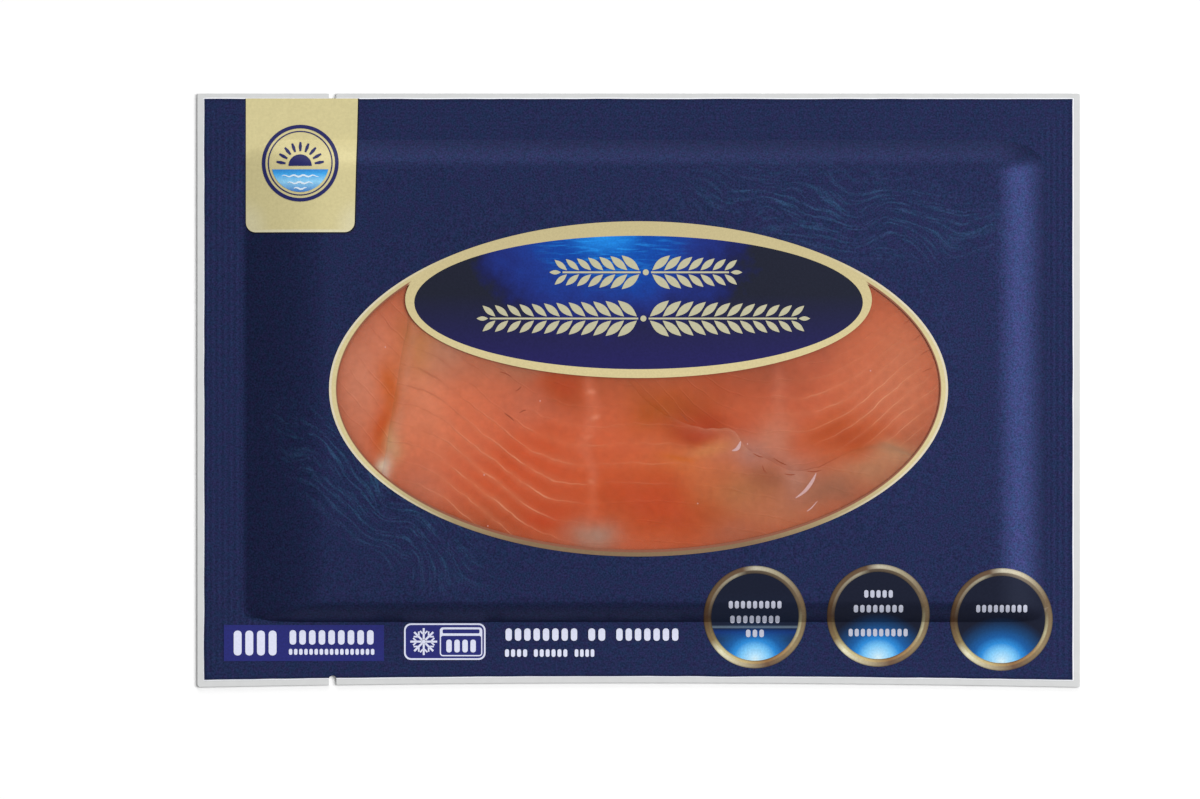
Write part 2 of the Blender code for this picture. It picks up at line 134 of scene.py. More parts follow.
# Width of the tag's painted shadow below its foot and beside its right side
TAG_SHADOW_WIDTH = 0.35
EMBLEM_CENTRE = (-84.2, 56.6)
EMBLEM_RINGS = ((9.6, 8.7), (8.1, 7.8))
SUN_RADIUS = 2.9
SUN_DROP = 0.7
SUN_RAYS = 9
WATER_RADIUS = 7.2
WATER_LEVEL_TURN = 0.22
BADGE_CENTRES = ((29.0, -56.4), (59.7, -56.0), (90.4, -57.0))
BADGE_RADIUS = 12.8
BADGE_DISC_RADIUS = 10.9
BADGE_ROWS = (
    ((3.1, 6.8), (-0.6, 6.4), (-4.1, 2.5)),
    ((5.4, 3.8), (1.7, 6.4), (-4.3, 7.6)),
    ((2.7, 6.6),),
)
STRIP = (-103.3, -67.4, -63.4, -58.4)
STORAGE_MARK = (-58.4, -67.1, -38.1, -58.0)
STORAGE_MARK_RADIUS = 1.7
STORAGE_MARK_LINE = 0.4
BEAD_ROWS_LEFT = -33.5
# Each row of beads: height on the print, height and pitch of a bead, and the row's groups
BEAD_ROWS = (
    (-60.8, 3.1, 2.25, ((0.0, 18.6), (20.6, 25.6), (27.6, 43.8))),
    (-65.4, 1.9, 1.45, ((0.0, 6.0), (7.2, 16.0), (17.4, 22.7))),
)

# Faint strokes on the navy print: centre, half sizes and turn of each soft oval
FLOW_PATCHES = (
    ((52.0, 44.0), (50.0, 13.0), -0.14), ((-64.0, -27.0), (38.0, 15.0), -0.72),
)

# Slices of fish: their lumps, and how they sink and thin out where one laps another
FISH_DEPTH = 0.34
UNDER_RIM_DROP = 0.3
UNDER_RIM_START = 0.985
LUMP_HEIGHT = 0.12
FINE_LUMP_HEIGHT = 0.04
LAP_START = 6.0
LAP_SLOPE = 0.22
LEFT_LAP_DIP = 0.26
LEFT_LAP_FADE = 2.6
LEFT_LAP_X = -60.4
LEFT_LAP_LEAN = 0.166
LAP_WANDER = 0.5
TORN_LAP_DIP = 0.5
TORN_LAP_LEAST_DIP = 0.06
TORN_LAP_X = 18.5
TORN_LAP_REACH = 8.0
TORN_LAP_FADE = 1.6
TORN_EDGE_THICKNESS = 0.05
TORN_STEP = 0.3
TORN_STEP_X = 19.0
TORN_STEP_REACH = 7.0
SLICE_GAP = 0.02
LEAST_SLICE = 0.03

# How far the slices reach under the print, and the lower two under the middle one
FISH_LEFT = -91.0
FISH_RIGHT = 95.0
LEFT_SLICE_ENDS = (-48.0, 52.0)
LEFT_SLICE_OVERLAP = 10.0
RIGHT_SLICE_LEFT = -28.0
RIGHT_SLICE_ENDS = (-46.0, 54.0)
RIGHT_SLICE_OVERLAP = 9.0
MIDDLE_SLICE_RIGHT = 80.0
MIDDLE_SLICE_ENDS = (-49.0, 46.0)

# Edges that lie on the fish: the right slice's under the middle one, and the middle one's torn edge
RIGHT_LAP = (
    (-40.0, 56.0), (-18.0, 24.0), (1.0, -1.5), (20.0, -12.0), (40.0, -17.5), (62.0, -14.5),
    (80.0, -26.0), (94.0, -62.0),
)
TORN_EDGE = (
    (-40.0, 47.0), (-21.0, 28.0), (0.4, -1.1), (12.8, -8.6), (24.0, -10.1), (26.5, -14.0),
    (30.3, -16.1), (37.7, -19.8), (44.0, -19.3), (52.7, -15.3), (61.4, -13.1), (67.1, -15.3),
    (80.0, -27.0),
)

# Fat lines: where a slice's lines start, how far apart they are, and how far a line has risen at
# a distance from the slice's lateral line
MIDDLE_SEAM_X = -12.2
MIDDLE_LINE_START = -17.5
MIDDLE_LINE_PITCH = 4.85
RIGHT_SEAM_X = 34.9
RIGHT_SEAM_LEAN = 0.118
RIGHT_LINE_START = -0.7
RIGHT_LINE_PITCH = 4.2
LEFT_LINE_LEAN = 1.15
LEFT_LINE_START = -53.2
LEFT_LINE_PITCH = 5.7
MIDDLE_LINE_RISE_LEFT = (
    (0.0, 0.0), (7.0, 1.0), (14.7, 4.1), (23.3, 10.5), (31.0, 16.6), (38.1, 22.2), (45.5, 25.0),
    (60.0, 27.0),
)
MIDDLE_LINE_RISE_RIGHT = ((0.0, 0.0), (8.0, 0.6), (16.0, 0.8), (25.0, 0.0), (40.0, -2.0), (95.0, -12.0))
RIGHT_LINE_RISE = (
    (0.0, 0.0), (6.0, 0.0), (10.7, 1.0), (14.7, 2.8), (17.8, 4.8), (21.4, 7.4), (24.4, 10.4),
    (27.5, 13.5), (31.5, 17.2), (62.0, 44.0),
)

# Colour of the flesh: its base, how deep each channel is, how strongly it departs from the base
# where darker and where lighter, how far patches drift, and shade by the rim and the title
FLESH_BASE = "#c8684a"
FLESH_DEPTH = (1.03, 0.9, 0.7)
FLESH_CONTRAST = ((1.5, 1.6, 2.2), (1.4, 1.35, 1.35))
FLESH_DRIFT = 2.5
FLESH_DRIFT_LENGTH = 9.0
RIM_SHADOW = 0.26
RIM_SHADOW_FALL = 22.0
TITLE_SHADOW = 0.2
TITLE_SHADOW_FALL = 16.0

# Soft patches of the flesh: place, half widths, colour and strength. A few dark ones along the middle slice's
# left and torn edges are painted shade.
FLESH_PATCHES = (
    (-69.0, 4.0, 11.0, 22.0, "#cb836e", 0.9),
    (-53.0, 0.0, 9.0, 17.0, "#d4886e", 0.85),
    (-47.0, 10.0, 7.0, 6.0, "#b48170", 0.75),
    (-41.0, -6.0, 10.0, 11.0, "#d37a5e", 0.75),
    (-27.0, -20.0, 18.0, 12.0, "#c65836", 0.85),
    (-32.0, -33.0, 20.0, 6.0, "#b2583a", 0.7),
    (-30.0, 6.0, 14.0, 5.0, "#b0705c", 0.85),
    (-19.0, 0.0, 8.0, 5.0, "#ac5236", 0.7),
    (-27.5, -3.0, 8.0, 5.5, "#c2705c", 0.55),
    (0.0, 2.0, 20.0, 6.0, "#a8583d", 0.6),
    (22.5, 0.5, 8.0, 5.0, "#a84a2c", 0.6),
    (9.0, -4.5, 10.0, 4.5, "#a94d1c", 0.85),
    # Painted shadow: deep red-orange on the right slice just under the middle slice's torn edge
    (15.5, -9.5, 9.0, 3.8, "#a83a12", 0.95),
    (-8.0, -13.0, 9.0, 8.0, "#cb6544", 0.6),
    (-2.0, -25.0, 16.0, 7.0, "#c2562e", 0.9),
    (14.0, -31.0, 22.0, 7.0, "#b45026", 0.9),
    (14.0, -18.0, 11.0, 4.5, "#c8703f", 0.6),
    (26.0, -25.0, 11.0, 6.0, "#b6734d", 0.9),
    (35.0, -30.0, 12.0, 6.0, "#b87459", 0.8),
    (24.0, -35.5, 7.0, 3.5, "#ad6a55", 0.6),
    (28.5, -15.6, 9.0, 4.5, "#b27a72", 0.85),
    (31.5, -22.5, 5.5, 4.0, "#98583f", 0.75),
    (39.5, -21.0, 5.0, 5.5, "#b8857c", 0.8),
    (47.0, -24.0, 10.0, 5.0, "#a66c5a", 0.8),
    (58.0, -19.5, 9.0, 4.0, "#b37f65", 0.9),
    (68.5, -12.0, 5.0, 7.0, "#a9624b", 0.75),
    (35.0, 1.0, 12.0, 8.0, "#b95f46", 0.7),
    (32.0, 5.0, 9.0, 4.0, "#a05440", 0.7),
    (45.0, 10.0, 8.0, 5.0, "#ac5a46", 0.7),
    (65.0, 5.0, 13.0, 17.0, "#c6775d", 0.9),
    (51.5, -12.0, 12.0, 5.0, "#b55228", 0.95),
    # Painted shade: dark amber on the left slice along the valley under the middle slice's left edge
    (-63.6, -10.0, 3.2, 8.0, "#bf5112", 1.0),
    (-61.4, 1.0, 2.8, 7.0, "#c05f28", 0.9),
    (-58.2, 13.5, 3.0, 6.0, "#b5663a", 0.7),
    (-54.5, 11.0, 4.0, 6.0, "#bd8258", 0.6),
    (-60.8, -13.5, 2.6, 5.0, "#c69a7a", 0.8),
    (-63.6, -19.0, 1.8, 2.6, "#dcc6b6", 0.8),
    (-23.0, -31.0, 8.0, 4.0, "#c04a20", 0.75),
    (-18.5, 0.8, 5.5, 3.0, "#b5481b", 0.75),
    (4.0, -28.0, 10.0, 6.0, "#c04c1e", 0.6),
    (5.0, -5.5, 6.5, 5.0, "#b25a18", 0.85),
    (17.5, -13.8, 6.0, 2.2, "#ca8458", 0.75),
    (10.0, -16.3, 4.0, 0.9, "#c4662a", 0.8),
    (-11.4, -36.0, 5.6, 4.0, "#a5887f", 0.85),
    (-11.8, 0.0, 1.0, 0.55, "#e0a08c", 0.7),
    (-11.6, -5.9, 1.1, 0.55, "#e0a08c", 0.75),
    (-11.8, -11.6, 1.0, 0.55, "#dd967c", 0.5),
    (-13.0, -22.9, 0.9, 0.55, "#dd967c", 0.5),
    (34.5, -11.5, 4.5, 4.5, "#bf8676", 0.65),
    (64.0, -15.8, 6.5, 3.0, "#bb8c72", 0.75),
    (49.0, -25.5, 6.0, 3.5, "#95624f", 0.55),
    (-54.0, -24.0, 7.0, 6.0, "#bd7462", 0.6),
    # Painted shadow: more red-orange under the torn edge
    (14.5, -8.6, 7.0, 3.0, "#b44a20", 0.6),
    (-12.2, -8.0, 1.8, 26.0, "#cf7358", 0.6),
    (34.6, -2.0, 1.8, 12.0, "#c4705a", 0.6),
)
# Where the fat lines are pale and where dark: place, half widths and strength of each soft patch
FAT_LINES_LIGHT = (
    (-36.0, -26.0, 14.0, 11.0, 0.85), (-22.0, -18.0, 9.0, 9.0, 0.5), (2.0, -16.0, 13.0, 9.0, 0.2),
    (62.0, -3.0, 11.0, 9.0, 0.7), (46.0, -4.0, 11.0, 7.0, 0.4), (-42.0, -12.0, 9.0, 7.0, 0.4),
)
FAT_LINES_DARK = (
    (-50.0, -3.0, 9.0, 12.0, 0.4), (-44.0, 6.0, 9.0, 6.0, 0.3), (-67.0, 14.5, 7.0, 9.0, 0.4),
)

# Small tears in the flesh, thin ones near the rim, streaks of white fat, some of them painted highlights on
# fold edges, and small painted glints
TEAR_WIDTH = 0.27
EDGE_TEAR_WIDTH = 0.14
GLINT_RADIUS = 0.16
TEARS = (
    ((-34.5, 4.6), (-33.2, 4.3), (-31.6, 3.4)),
    ((-30.6, -0.2), (-29.7, 0.4), (-29.2, 1.0)),
    ((-33.4, -5.6), (-32.0, -6.6), (-30.9, -7.6)),
    ((-29.7, -5.6), (-28.6, -5.0), (-27.9, -4.9)),
    ((28.4, -15.6), (30.0, -16.4), (31.2, -16.6)),
    ((30.8, -18.6), (31.2, -19.8), (31.9, -20.6)),
    ((33.5, -16.8), (35.5, -18.0), (37.0, -18.6)),
    ((36.2, -20.7), (37.8, -21.0), (39.0, -20.8)),
    ((41.6, -20.0), (43.6, -20.2), (45.6, -19.8)),
    ((10.2, -5.4), (11.4, -6.6), (12.6, -8.0)),
)
EDGE_TEARS = (
    ((66.0, 16.5), (67.6, 17.6), (68.8, 17.9)),
    ((68.6, 12.6), (69.6, 13.4), (70.6, 14.2)),
    ((69.9, 8.6), (71.4, 9.6), (72.6, 10.2)),
    ((70.4, 4.4), (71.9, 5.2), (73.2, 5.6)),
)
# Streaks of white fat, some of them painted highlights on the edges of folds: width and points of each
FAT_AND_HIGHLIGHT_STREAKS = (
    (0.9, ((25.4, -12.6), (25.0, -13.8), (24.4, -14.6), (23.2, -15.0))),
    (0.85, ((44.2, -20.5), (43.2, -22.6), (41.4, -25.0), (39.0, -26.8))),
    (0.28, ((44.5, -27.5), (43.0, -29.2), (41.8, -30.1))),
    (0.4, ((-63.4, -21.6), (-63.9, -23.2), (-63.5, -24.4))),
)
GLINTS = (
    (-63.0, 10.8), (-24.5, -2.6), (-38.4, -21.0), (-37.5, -33.7), (14.7, -28.1), (27.1, -13.3),
    (57.7, 4.9), (-37.6, -34.4),
)


# Stage, in metres but for the camera's sensor. At this height the view is 1200 pixels wide at
# 0.24915 mm a pixel, and the pack lies off its middle.
FLOOR_HALF_SIZE = 2.0
FLOOR_DROP = 0.0002
VIEW_WIDTH = 0.29898
VIEW_CENTRE = (-0.00959, -0.00224)
VIEW_HEIGHT = 0.0005
SENSOR_WIDTH = 36.0


# Settings that a user would change
def linear(code):
    """The linear colour of an sRGB hex value."""
    channels = [int(code[k:k + 2], 16) / 255.0 for k in (1, 3, 5)]
    return tuple(c / 12.92 if c <= 0.04045 else ((c + 0.055) / 1.055) ** 2.4 for c in channels)


def colour_setting(name, description, code):
    return FloatVectorProperty(
        name=name, description=description, subtype="COLOR", size=3, min=0.0, max=1.0,
        default=linear(code),
    )


def size_setting(name, description, millimetres):
    return FloatProperty(
        name=name, description=description, unit="LENGTH", subtype="DISTANCE", min=0.0,
        precision=5, default=millimetres * MILLIMETRE,
    )


class FilmSettings(bpy.types.PropertyGroup):
    """The pouch film."""

    navy: colour_setting("Navy", "Colour of the printed film", "#0e1329")
    navy_gloss: colour_setting("Gloss tint", "Tint of the film's reflections", "#899bff")
    pattern: colour_setting("Pattern", "Colour of the faint flowing strokes", "#264a62")
    clear: colour_setting("Clear rim", "Colour of the unprinted rim", "#d9dada")
    roughness: FloatProperty(
        name="Roughness", description="Roughness of the satin film", min=0.0, max=1.0, default=0.475,
    )
    grain: size_setting("Grain", "Size of the satin film's grain", 0.42)
    rib_pitch: size_setting("Rib pitch", "Distance between the ribs of the seals", 1.5)


class PrintSettings(bpy.types.PropertyGroup):
    """The inks on the pouch."""

    gold: colour_setting("Gold", "Pale gold of the window rim", "#d2c391")
    # Painted shade: the brown that the rim turns to at its foot
    gold_painted_shade: colour_setting("Gold shade", "Brown of the rim's lower side", "#82684c")
    # Painted shadow: the thin brown band along the rim's inner edge, on the fish side
    rim_painted_shadow: colour_setting("Rim brown", "Shade between the rim and the fish", "#8c553f")
    tag_gold: colour_setting("Tag gold", "Gold of the corner tag", "#d0c592")
    bronze: colour_setting("Bronze", "Darker side of the badge rings", "#4a2f1a")
    title_dark: colour_setting("Title dark", "Ends of the title panel", "#1d1f2c")
    title_blue: colour_setting("Title blue", "Glow of the title panel", "#0a4ba6")
    strip: colour_setting("Strip", "Violet blue of the strip", "#20246f")
    white: colour_setting("White", "White ink", "#d9dcf0")


class FishSettings(bpy.types.PropertyGroup):
    """The sliced fish and the window over it."""

    flesh: colour_setting("Flesh", "Main colour of the fish", FLESH_BASE)
    fat: colour_setting("Fat", "Colour of the thin lines of fat", "#e09a74")
    dark: colour_setting("Dark lines", "Colour of the dark lines and tears", "#94452a")
    line_width: size_setting("Fat line width", "Width of a line of fat", 0.34)
    haze: FloatProperty(
        name="Window haze", description="How much the clear window veils the fish",
        min=0.0, max=1.0, default=0.08,
    )


class StageSettings(bpy.types.PropertyGroup):
    """Floor, light and camera."""

    floor: colour_setting("Floor", "Colour of the floor", "#fdfdfd")
    key: FloatProperty(
        name="Key light", description="Power of the main soft light", unit="POWER", default=328.0,
    )
    top: FloatProperty(
        name="Top light", description="Power of the light above the print", unit="POWER", default=92.0,
    )
    sky: FloatProperty(
        name="Room light", description="Strength of the room's even light", default=0.28,
    )
    lens: FloatProperty(
        name="Lens", description="Focal length of the camera", unit="CAMERA", default=400.0,
    )


# Heights of the pack
def shoulder_parts(x, y):
    """0 at the shoulder's top and 1 at its foot, measured at the sides and at the ends."""
    side = 1.0 - min((x - PLATEAU_LEFT) / SHOULDER_LEFT, (PLATEAU_RIGHT - x) / SHOULDER_RIGHT)
    end = 1.0 - min((y - PLATEAU_BOTTOM) / SHOULDER_BOTTOM, (PLATEAU_TOP - y) / SHOULDER_TOP)
    return max(side, 0.0), max(end, 0.0)


def plateau_share(x, y):
    """0 on the crease round the raised part, 1 at the top of its shoulder, below 0 on the seal."""
    side, end = shoulder_parts(x, y)
    power = ROUND_CORNER_POWER if x > 0.0 and y > 0.0 else SHOULDER_CORNER_POWER
    return 1.0 - (side ** power + end ** power) ** (1.0 / power)


def raised_share(x, y):
    """Height of the shoulder, which falls more steeply to its foot along the right side."""
    share = min(max(plateau_share(x, y), 0.0), 1.0)
    side, end = shoulder_parts(x, y)
    steep = side ** 2 / (side ** 2 + end ** 2) if x > 0.0 and side > 0.0 else 0.0
    gentle_height = math.sin(share * math.pi / 2.0)
    return gentle_height + steep * (1.0 - (1.0 - share) ** STEEP_POWER - gentle_height)


def crown(x, y):
    """The slight swell of the raised part, highest in its middle."""
    across = (2.0 * x - PLATEAU_LEFT - PLATEAU_RIGHT) / (PLATEAU_RIGHT - PLATEAU_LEFT)
    along = (2.0 * y - PLATEAU_BOTTOM - PLATEAU_TOP) / (PLATEAU_TOP - PLATEAU_BOTTOM)
    return CROWN_RISE * max(1.0 - across ** 2, 0.0) * max(1.0 - along ** 2, 0.0)


def unevenness(x, y, length, seed):
    """Noise between about -1 and 1, in swells of this length."""
    return noise.noise(Vector((x / length, y / length, seed)))


def bell(offset, width):
    """1 at no offset, falling smoothly to nearly 0 past twice the width."""
    return math.exp(-(offset / width) ** 2)


def film_top(x, y):
    """Upper side of the front film and the window, with the slight waves of a real film."""
    wave = FILM_WAVE * unevenness(x, y, 16.0, 3.0)
    return SEAL_TOP + SHOULDER_RISE * raised_share(x, y) + crown(x, y) + wave


def film_underside(x, y):
    return film_top(x, y) - FRONT_FILM_THICKNESS


def curve_height(points, x):
    """Smooth curve through points that run from left to right, as a height over x."""
    last = len(points) - 1
    x = min(max(x, points[0][0]), points[last][0])
    k = max(i for i in range(last) if i == 0 or points[i][0] <= x)
    (x0, y0), (x1, y1) = points[k], points[k + 1]
    before, after = points[max(k - 1, 0)], points[min(k + 2, last)]
    width = x1 - x0
    start = width * (y1 - before[1]) / (x1 - before[0])
    end = width * (after[1] - y0) / (after[0] - x0)
    t = (x - x0) / width
    rise = (3.0 - 2.0 * t) * t * t
    return y0 * (1.0 - rise) + y1 * rise + start * t * (1.0 - t) ** 2 - end * (1.0 - t) * t * t


def left_lap_x(y):
    """Where the middle slice's left edge lies on the left slice."""
    return LEFT_LAP_X + LEFT_LAP_LEAN * y + LAP_WANDER * unevenness(0.0, y, 6.0, 1.0)


def torn_edge_y(x):
    """Where the middle slice's torn edge lies on the right slice."""
    return curve_height(TORN_EDGE, x) + LAP_WANDER * unevenness(x, 0.0, 2.6, 2.0)


def fish_top(x, y):
    """Top of the fish, with the lumps of soft flesh: close to the window, lower beyond its rim."""
    lumps = LUMP_HEIGHT * unevenness(x, y, 7.0, 5.0) + FINE_LUMP_HEIGHT * unevenness(x, y, 2.2, 8.0)
    reach = math.hypot(x / OPENING[0], (y - WINDOW_CENTRE_Y) / OPENING[1])
    under_rim = min(max((reach - UNDER_RIM_START) / (1.0 - UNDER_RIM_START), 0.0), 1.0)
    return film_top(x, y) - FISH_DEPTH - UNDER_RIM_DROP * under_rim + lumps


def lap_drop(under, dip):
    """How far a slice sinks where another lies over it: gently up to the lap, evenly beyond it."""
    share = min(max(1.0 + under / LAP_START, 0.0), 1.0)
    return dip * share ** 2 * (3.0 - 2.0 * share) + LAP_SLOPE * max(under, 0.0)


def left_slice_top(x, y):
    return fish_top(x, y) - lap_drop(x - (LEFT_LAP_X + LEFT_LAP_LEAN * y), LEFT_LAP_DIP)


def torn_lap_dip(x):
    """The torn edge stands clear of the slice under it only a little right of the window's middle."""
    more = TORN_LAP_DIP - TORN_LAP_LEAST_DIP
    return TORN_LAP_LEAST_DIP + more * bell(x - TORN_LAP_X, TORN_LAP_REACH)


def right_slice_top(x, y):
    return fish_top(x, y) - lap_drop(curve_height(RIGHT_LAP, x) - y, torn_lap_dip(x))


def middle_slice_top(x, y):
    """The middle slice thins out to its left edge and to its torn edge, which stands up in places."""
    left = LEFT_LAP_DIP * bell(max(x - left_lap_x(y), 0.0), LEFT_LAP_FADE)
    step = TORN_EDGE_THICKNESS + TORN_STEP * bell(x - TORN_STEP_X, TORN_STEP_REACH)
    fade = math.exp(-max(torn_edge_y(x) - y, 0.0) / TORN_LAP_FADE)
    return fish_top(x, y) - max(left, max(torn_lap_dip(x) - step, 0.0) * fade)


def middle_slice_underside(x, y):
    lower = max(FISH_FLOOR, left_slice_top(x, y), right_slice_top(x, y)) + SLICE_GAP
    return min(lower, middle_slice_top(x, y) - LEAST_SLICE)


# Outlines
def oval(half_axes, centre, steps):
    """Points all round an oval."""
    turns = [2.0 * math.pi * k / steps for k in range(steps)]
    return [
        (centre[0] + half_axes[0] * math.cos(turn), centre[1] + half_axes[1] * math.sin(turn))
        for turn in turns
    ]


def disc(radius, centre, steps):
    return oval((radius, radius), centre, steps)


def arc(radius, centre, start, end, steps):
    """Points on a circle from one turn to another."""
    turns = [start + (end - start) * k / steps for k in range(steps + 1)]
    return [(centre[0] + radius * math.cos(t), centre[1] + radius * math.sin(t)) for t in turns]


def rounded_box(box, low_radius, high_radius=None, steps=6):
    """A rectangle with rounded corners; the upper ones may have a radius of their own."""
    left, bottom, right, top = box
    if high_radius is None:
        high_radius = low_radius
    outline = []
    for x, y, start, radius in (
        (left, bottom, 180.0, low_radius), (right, bottom, 270.0, low_radius),
        (right, top, 0.0, high_radius), (left, top, 90.0, high_radius),
    ):
        centre_x = x + (radius if x == left else -radius)
        centre_y = y + (radius if y == bottom else -radius)
        for k in range(steps + 1 if radius else 1):
            turn = math.radians(start + 90.0 * k / steps)
            outline.append((centre_x + radius * math.cos(turn), centre_y + radius * math.sin(turn)))
    return outline


def shrunk(box, *insets):
    """The box with its sides moved inward, by one distance or by four, from the left and bottom on."""
    left, bottom, right, top = insets * (4 // len(insets))
    return box[0] + left, box[1] + bottom, box[2] - right, box[3] - top


def bowed(x, y):
    """Bends the lower edge of the films up a little in its middle."""
    lift = BOTTOM_EDGE_BOW * max(1.0 - (2.0 * x / PACK_WIDTH) ** 2, 0.0)
    return x, y + lift * max(-2.0 * y / PACK_HEIGHT, 0.0) ** 4


def wandering(x, y):
    """Moves the print's border in and out a little, as where a web is cut out of register."""
    side = BORDER_WANDER * noise.noise(Vector((y / 14.0, x / 90.0, 23.0)))
    end = BORDER_WANDER * noise.noise(Vector((x / 14.0, y / 90.0, 29.0)))
    if abs(x) > PRINT_HALF_WIDTH - 1.0:
        x += math.copysign(side, x)
    if y > PRINT_TOP - 1.0 or y < PRINT_BOTTOM + 1.0:
        y += math.copysign(end, y)
    return bowed(x, y)


def rim_top(x, y):
    """Height of the clear rim, which rises a little to the print's border."""
    outward = max(abs(x) - PRINT_HALF_WIDTH, y - PRINT_TOP, bowed(x, PRINT_BOTTOM)[1] - y)
    return CLEAR_RIM_TOP - CLEAR_RIM_FALL * min(max(outward / CLEAR_RIM_FALL_WIDTH, 0.0), 1.0)


def window_below_title(steps):
    """The part of the window that shows: the rim's inner oval less the title oval."""
    def beyond_title(turn):
        x = RIM_INNER[0] * math.cos(turn)
        y = WINDOW_CENTRE_Y + RIM_INNER[1] * math.sin(turn) - TITLE_OUTER_CENTRE_Y
        return (x / TITLE_OUTER[0]) ** 2 + (y / TITLE_OUTER[1]) ** 2 > 1.0

    low, high = 0.0, math.pi / 2.0
    for _ in range(40):
        middle = (low + high) / 2.0
        low, high = (middle, high) if beyond_title(middle) else (low, middle)
    crossing_x = RIM_INNER[0] * math.cos(low)
    crossing_y = WINDOW_CENTRE_Y + RIM_INNER[1] * math.sin(low) - TITLE_OUTER_CENTRE_Y
    start = math.atan2(crossing_y / TITLE_OUTER[1], crossing_x / TITLE_OUTER[0])
    outline = []
    for k in range(steps):
        turn = math.pi - low + (math.pi + 2.0 * low) * k / steps
        outline.append((RIM_INNER[0] * math.cos(turn), WINDOW_CENTRE_Y + RIM_INNER[1] * math.sin(turn)))
    for k in range(steps // 2):
        turn = start - (math.pi + 2.0 * start) * 2.0 * k / steps
        outline.append((
            TITLE_OUTER[0] * math.cos(turn),
            TITLE_OUTER_CENTRE_Y + TITLE_OUTER[1] * math.sin(turn),
        ))
    return outline


# Rays from the middle of the pack, on which the points of a film's loops lie
def ray_directions(side_steps, end_steps):
    """Unit directions to points round the print's border, closer together near its corners."""
    corners = (
        (-PRINT_HALF_WIDTH, PRINT_BOTTOM), (PRINT_HALF_WIDTH, PRINT_BOTTOM),
        (PRINT_HALF_WIDTH, PRINT_TOP), (-PRINT_HALF_WIDTH, PRINT_TOP),
    )
    directions = []
    for k in range(4):
        (x0, y0), (x1, y1) = corners[k], corners[(k + 1) % 4]
        steps = (side_steps, end_steps)[k % 2]
        for step in range(steps):
            share = 0.5 * step / steps + 0.25 * (1.0 - math.cos(math.pi * step / steps))
            directions.append(Vector((x0 + (x1 - x0) * share, y0 + (y1 - y0) * share)).normalized())
    return directions


def loop_where(inside, directions):
    """Where each ray leaves the region in which inside(x, y) is true."""
    loop = []
    for direction in directions:
        low, high = 0.0, PACK_WIDTH
        for _ in range(32):
            middle = (low + high) / 2.0
            low, high = (middle, high) if inside(*(direction * middle)) else (low, middle)
        loop.append(tuple(direction * low))
    return loop


def oval_loop(half_axes, directions):
    def inside(x, y):
        return (x / half_axes[0]) ** 2 + ((y - WINDOW_CENTRE_Y) / half_axes[1]) ** 2 < 1.0

    return loop_where(inside, directions)


def border_loop(outward, directions):
    """The print's border, moved outward by this distance."""
    def inside(x, y):
        return abs(x) < PRINT_HALF_WIDTH + outward and PRINT_BOTTOM - outward < y < PRINT_TOP + outward

    return loop_where(inside, directions)


def pack_edge_loop(inset, directions):
    """The pouch's edge, moved inward by this distance."""
    def inside(x, y):
        return abs(x) < PACK_WIDTH / 2.0 - inset and abs(y) < PACK_HEIGHT / 2.0 - inset

    return [bowed(x, y) for x, y in loop_where(inside, directions)]


def between(loop_a, loop_b, share):
    """The loop that lies this share of the way from one loop to another."""
    return [
        (xa + (xb - xa) * share, ya + (yb - ya) * share)
        for (xa, ya), (xb, yb) in zip(loop_a, loop_b)
    ]


# Flat sheets, and the thin solids made from them
def ring_sheet(loops):
    """A flat sheet that joins closed loops of equally many points, each to the next."""
    around = len(loops[0])
    across = len(loops) - 1
    sheet = bmesh.new()
    bmesh.ops.create_grid(sheet, x_segments=around, y_segments=across, size=0.5)
    for corner in sheet.verts:
        k = round((corner.co.x + 0.5) * around) % around
        x, y = loops[round((corner.co.y + 0.5) * across)][k]
        corner.co = (x, y, 0.0)
    bmesh.ops.remove_doubles(sheet, verts=sheet.verts[:], dist=MERGE_DISTANCE)
    bmesh.ops.dissolve_degenerate(sheet, edges=sheet.edges[:], dist=MERGE_DISTANCE)
    return sheet


def lattice_sheet(columns, rows, sides, ends):
    """A flat sheet of columns and rows between two side edges and two end edges."""
    sheet = bmesh.new()
    bmesh.ops.create_grid(sheet, x_segments=columns, y_segments=rows, size=0.5)
    for corner in sheet.verts:
        across, along = corner.co.x + 0.5, corner.co.y + 0.5
        x = y = 0.0
        for _ in range(5):
            left, right = sides(y)
            x = left + (right - left) * across
            low, high = ends(x)
            y = low + (high - low) * along
        corner.co = (x, y, 0.0)
    return sheet


def add_shape(sheet, outlines):
    """Fills the first outline, with the others as holes, in a flat sheet that may hold more."""
    rings = []
    for outline in outlines:
        corners = [sheet.verts.new((x, y, 0.0)) for x, y in outline]
        rings += [sheet.edges.new(pair) for pair in zip(corners, corners[1:] + corners[:1])]
    bmesh.ops.triangle_fill(sheet, use_beauty=True, edges=rings, normal=(0.0, 0.0, 1.0))


def shape_sheet(*shapes):
    """A flat sheet of several shapes, each a list of outlines."""
    sheet = bmesh.new()
    for outlines in shapes:
        add_shape(sheet, outlines)
    return sheet


def add_ribbon(sheet, path, width, taper=1.0):
    """A flat strip along a path, widest in its middle; taper 0 keeps it even."""
    steps = len(path) - 1
    made = bmesh.ops.create_grid(sheet, x_segments=steps, y_segments=1, size=0.5)
    for corner in made["verts"]:
        k = round((corner.co.x + 0.5) * steps)
        ahead = Vector(path[min(k + 1, steps)]) - Vector(path[max(k - 1, 0)])
        normal = Vector((-ahead.y, ahead.x)).normalized()
        swell = 1.0 - taper + taper * math.sin(math.pi * (k + 0.4) / (steps + 0.8))
        place = Vector(path[k]) + normal * (corner.co.y * width * swell)
        corner.co = (place.x, place.y, 0.0)


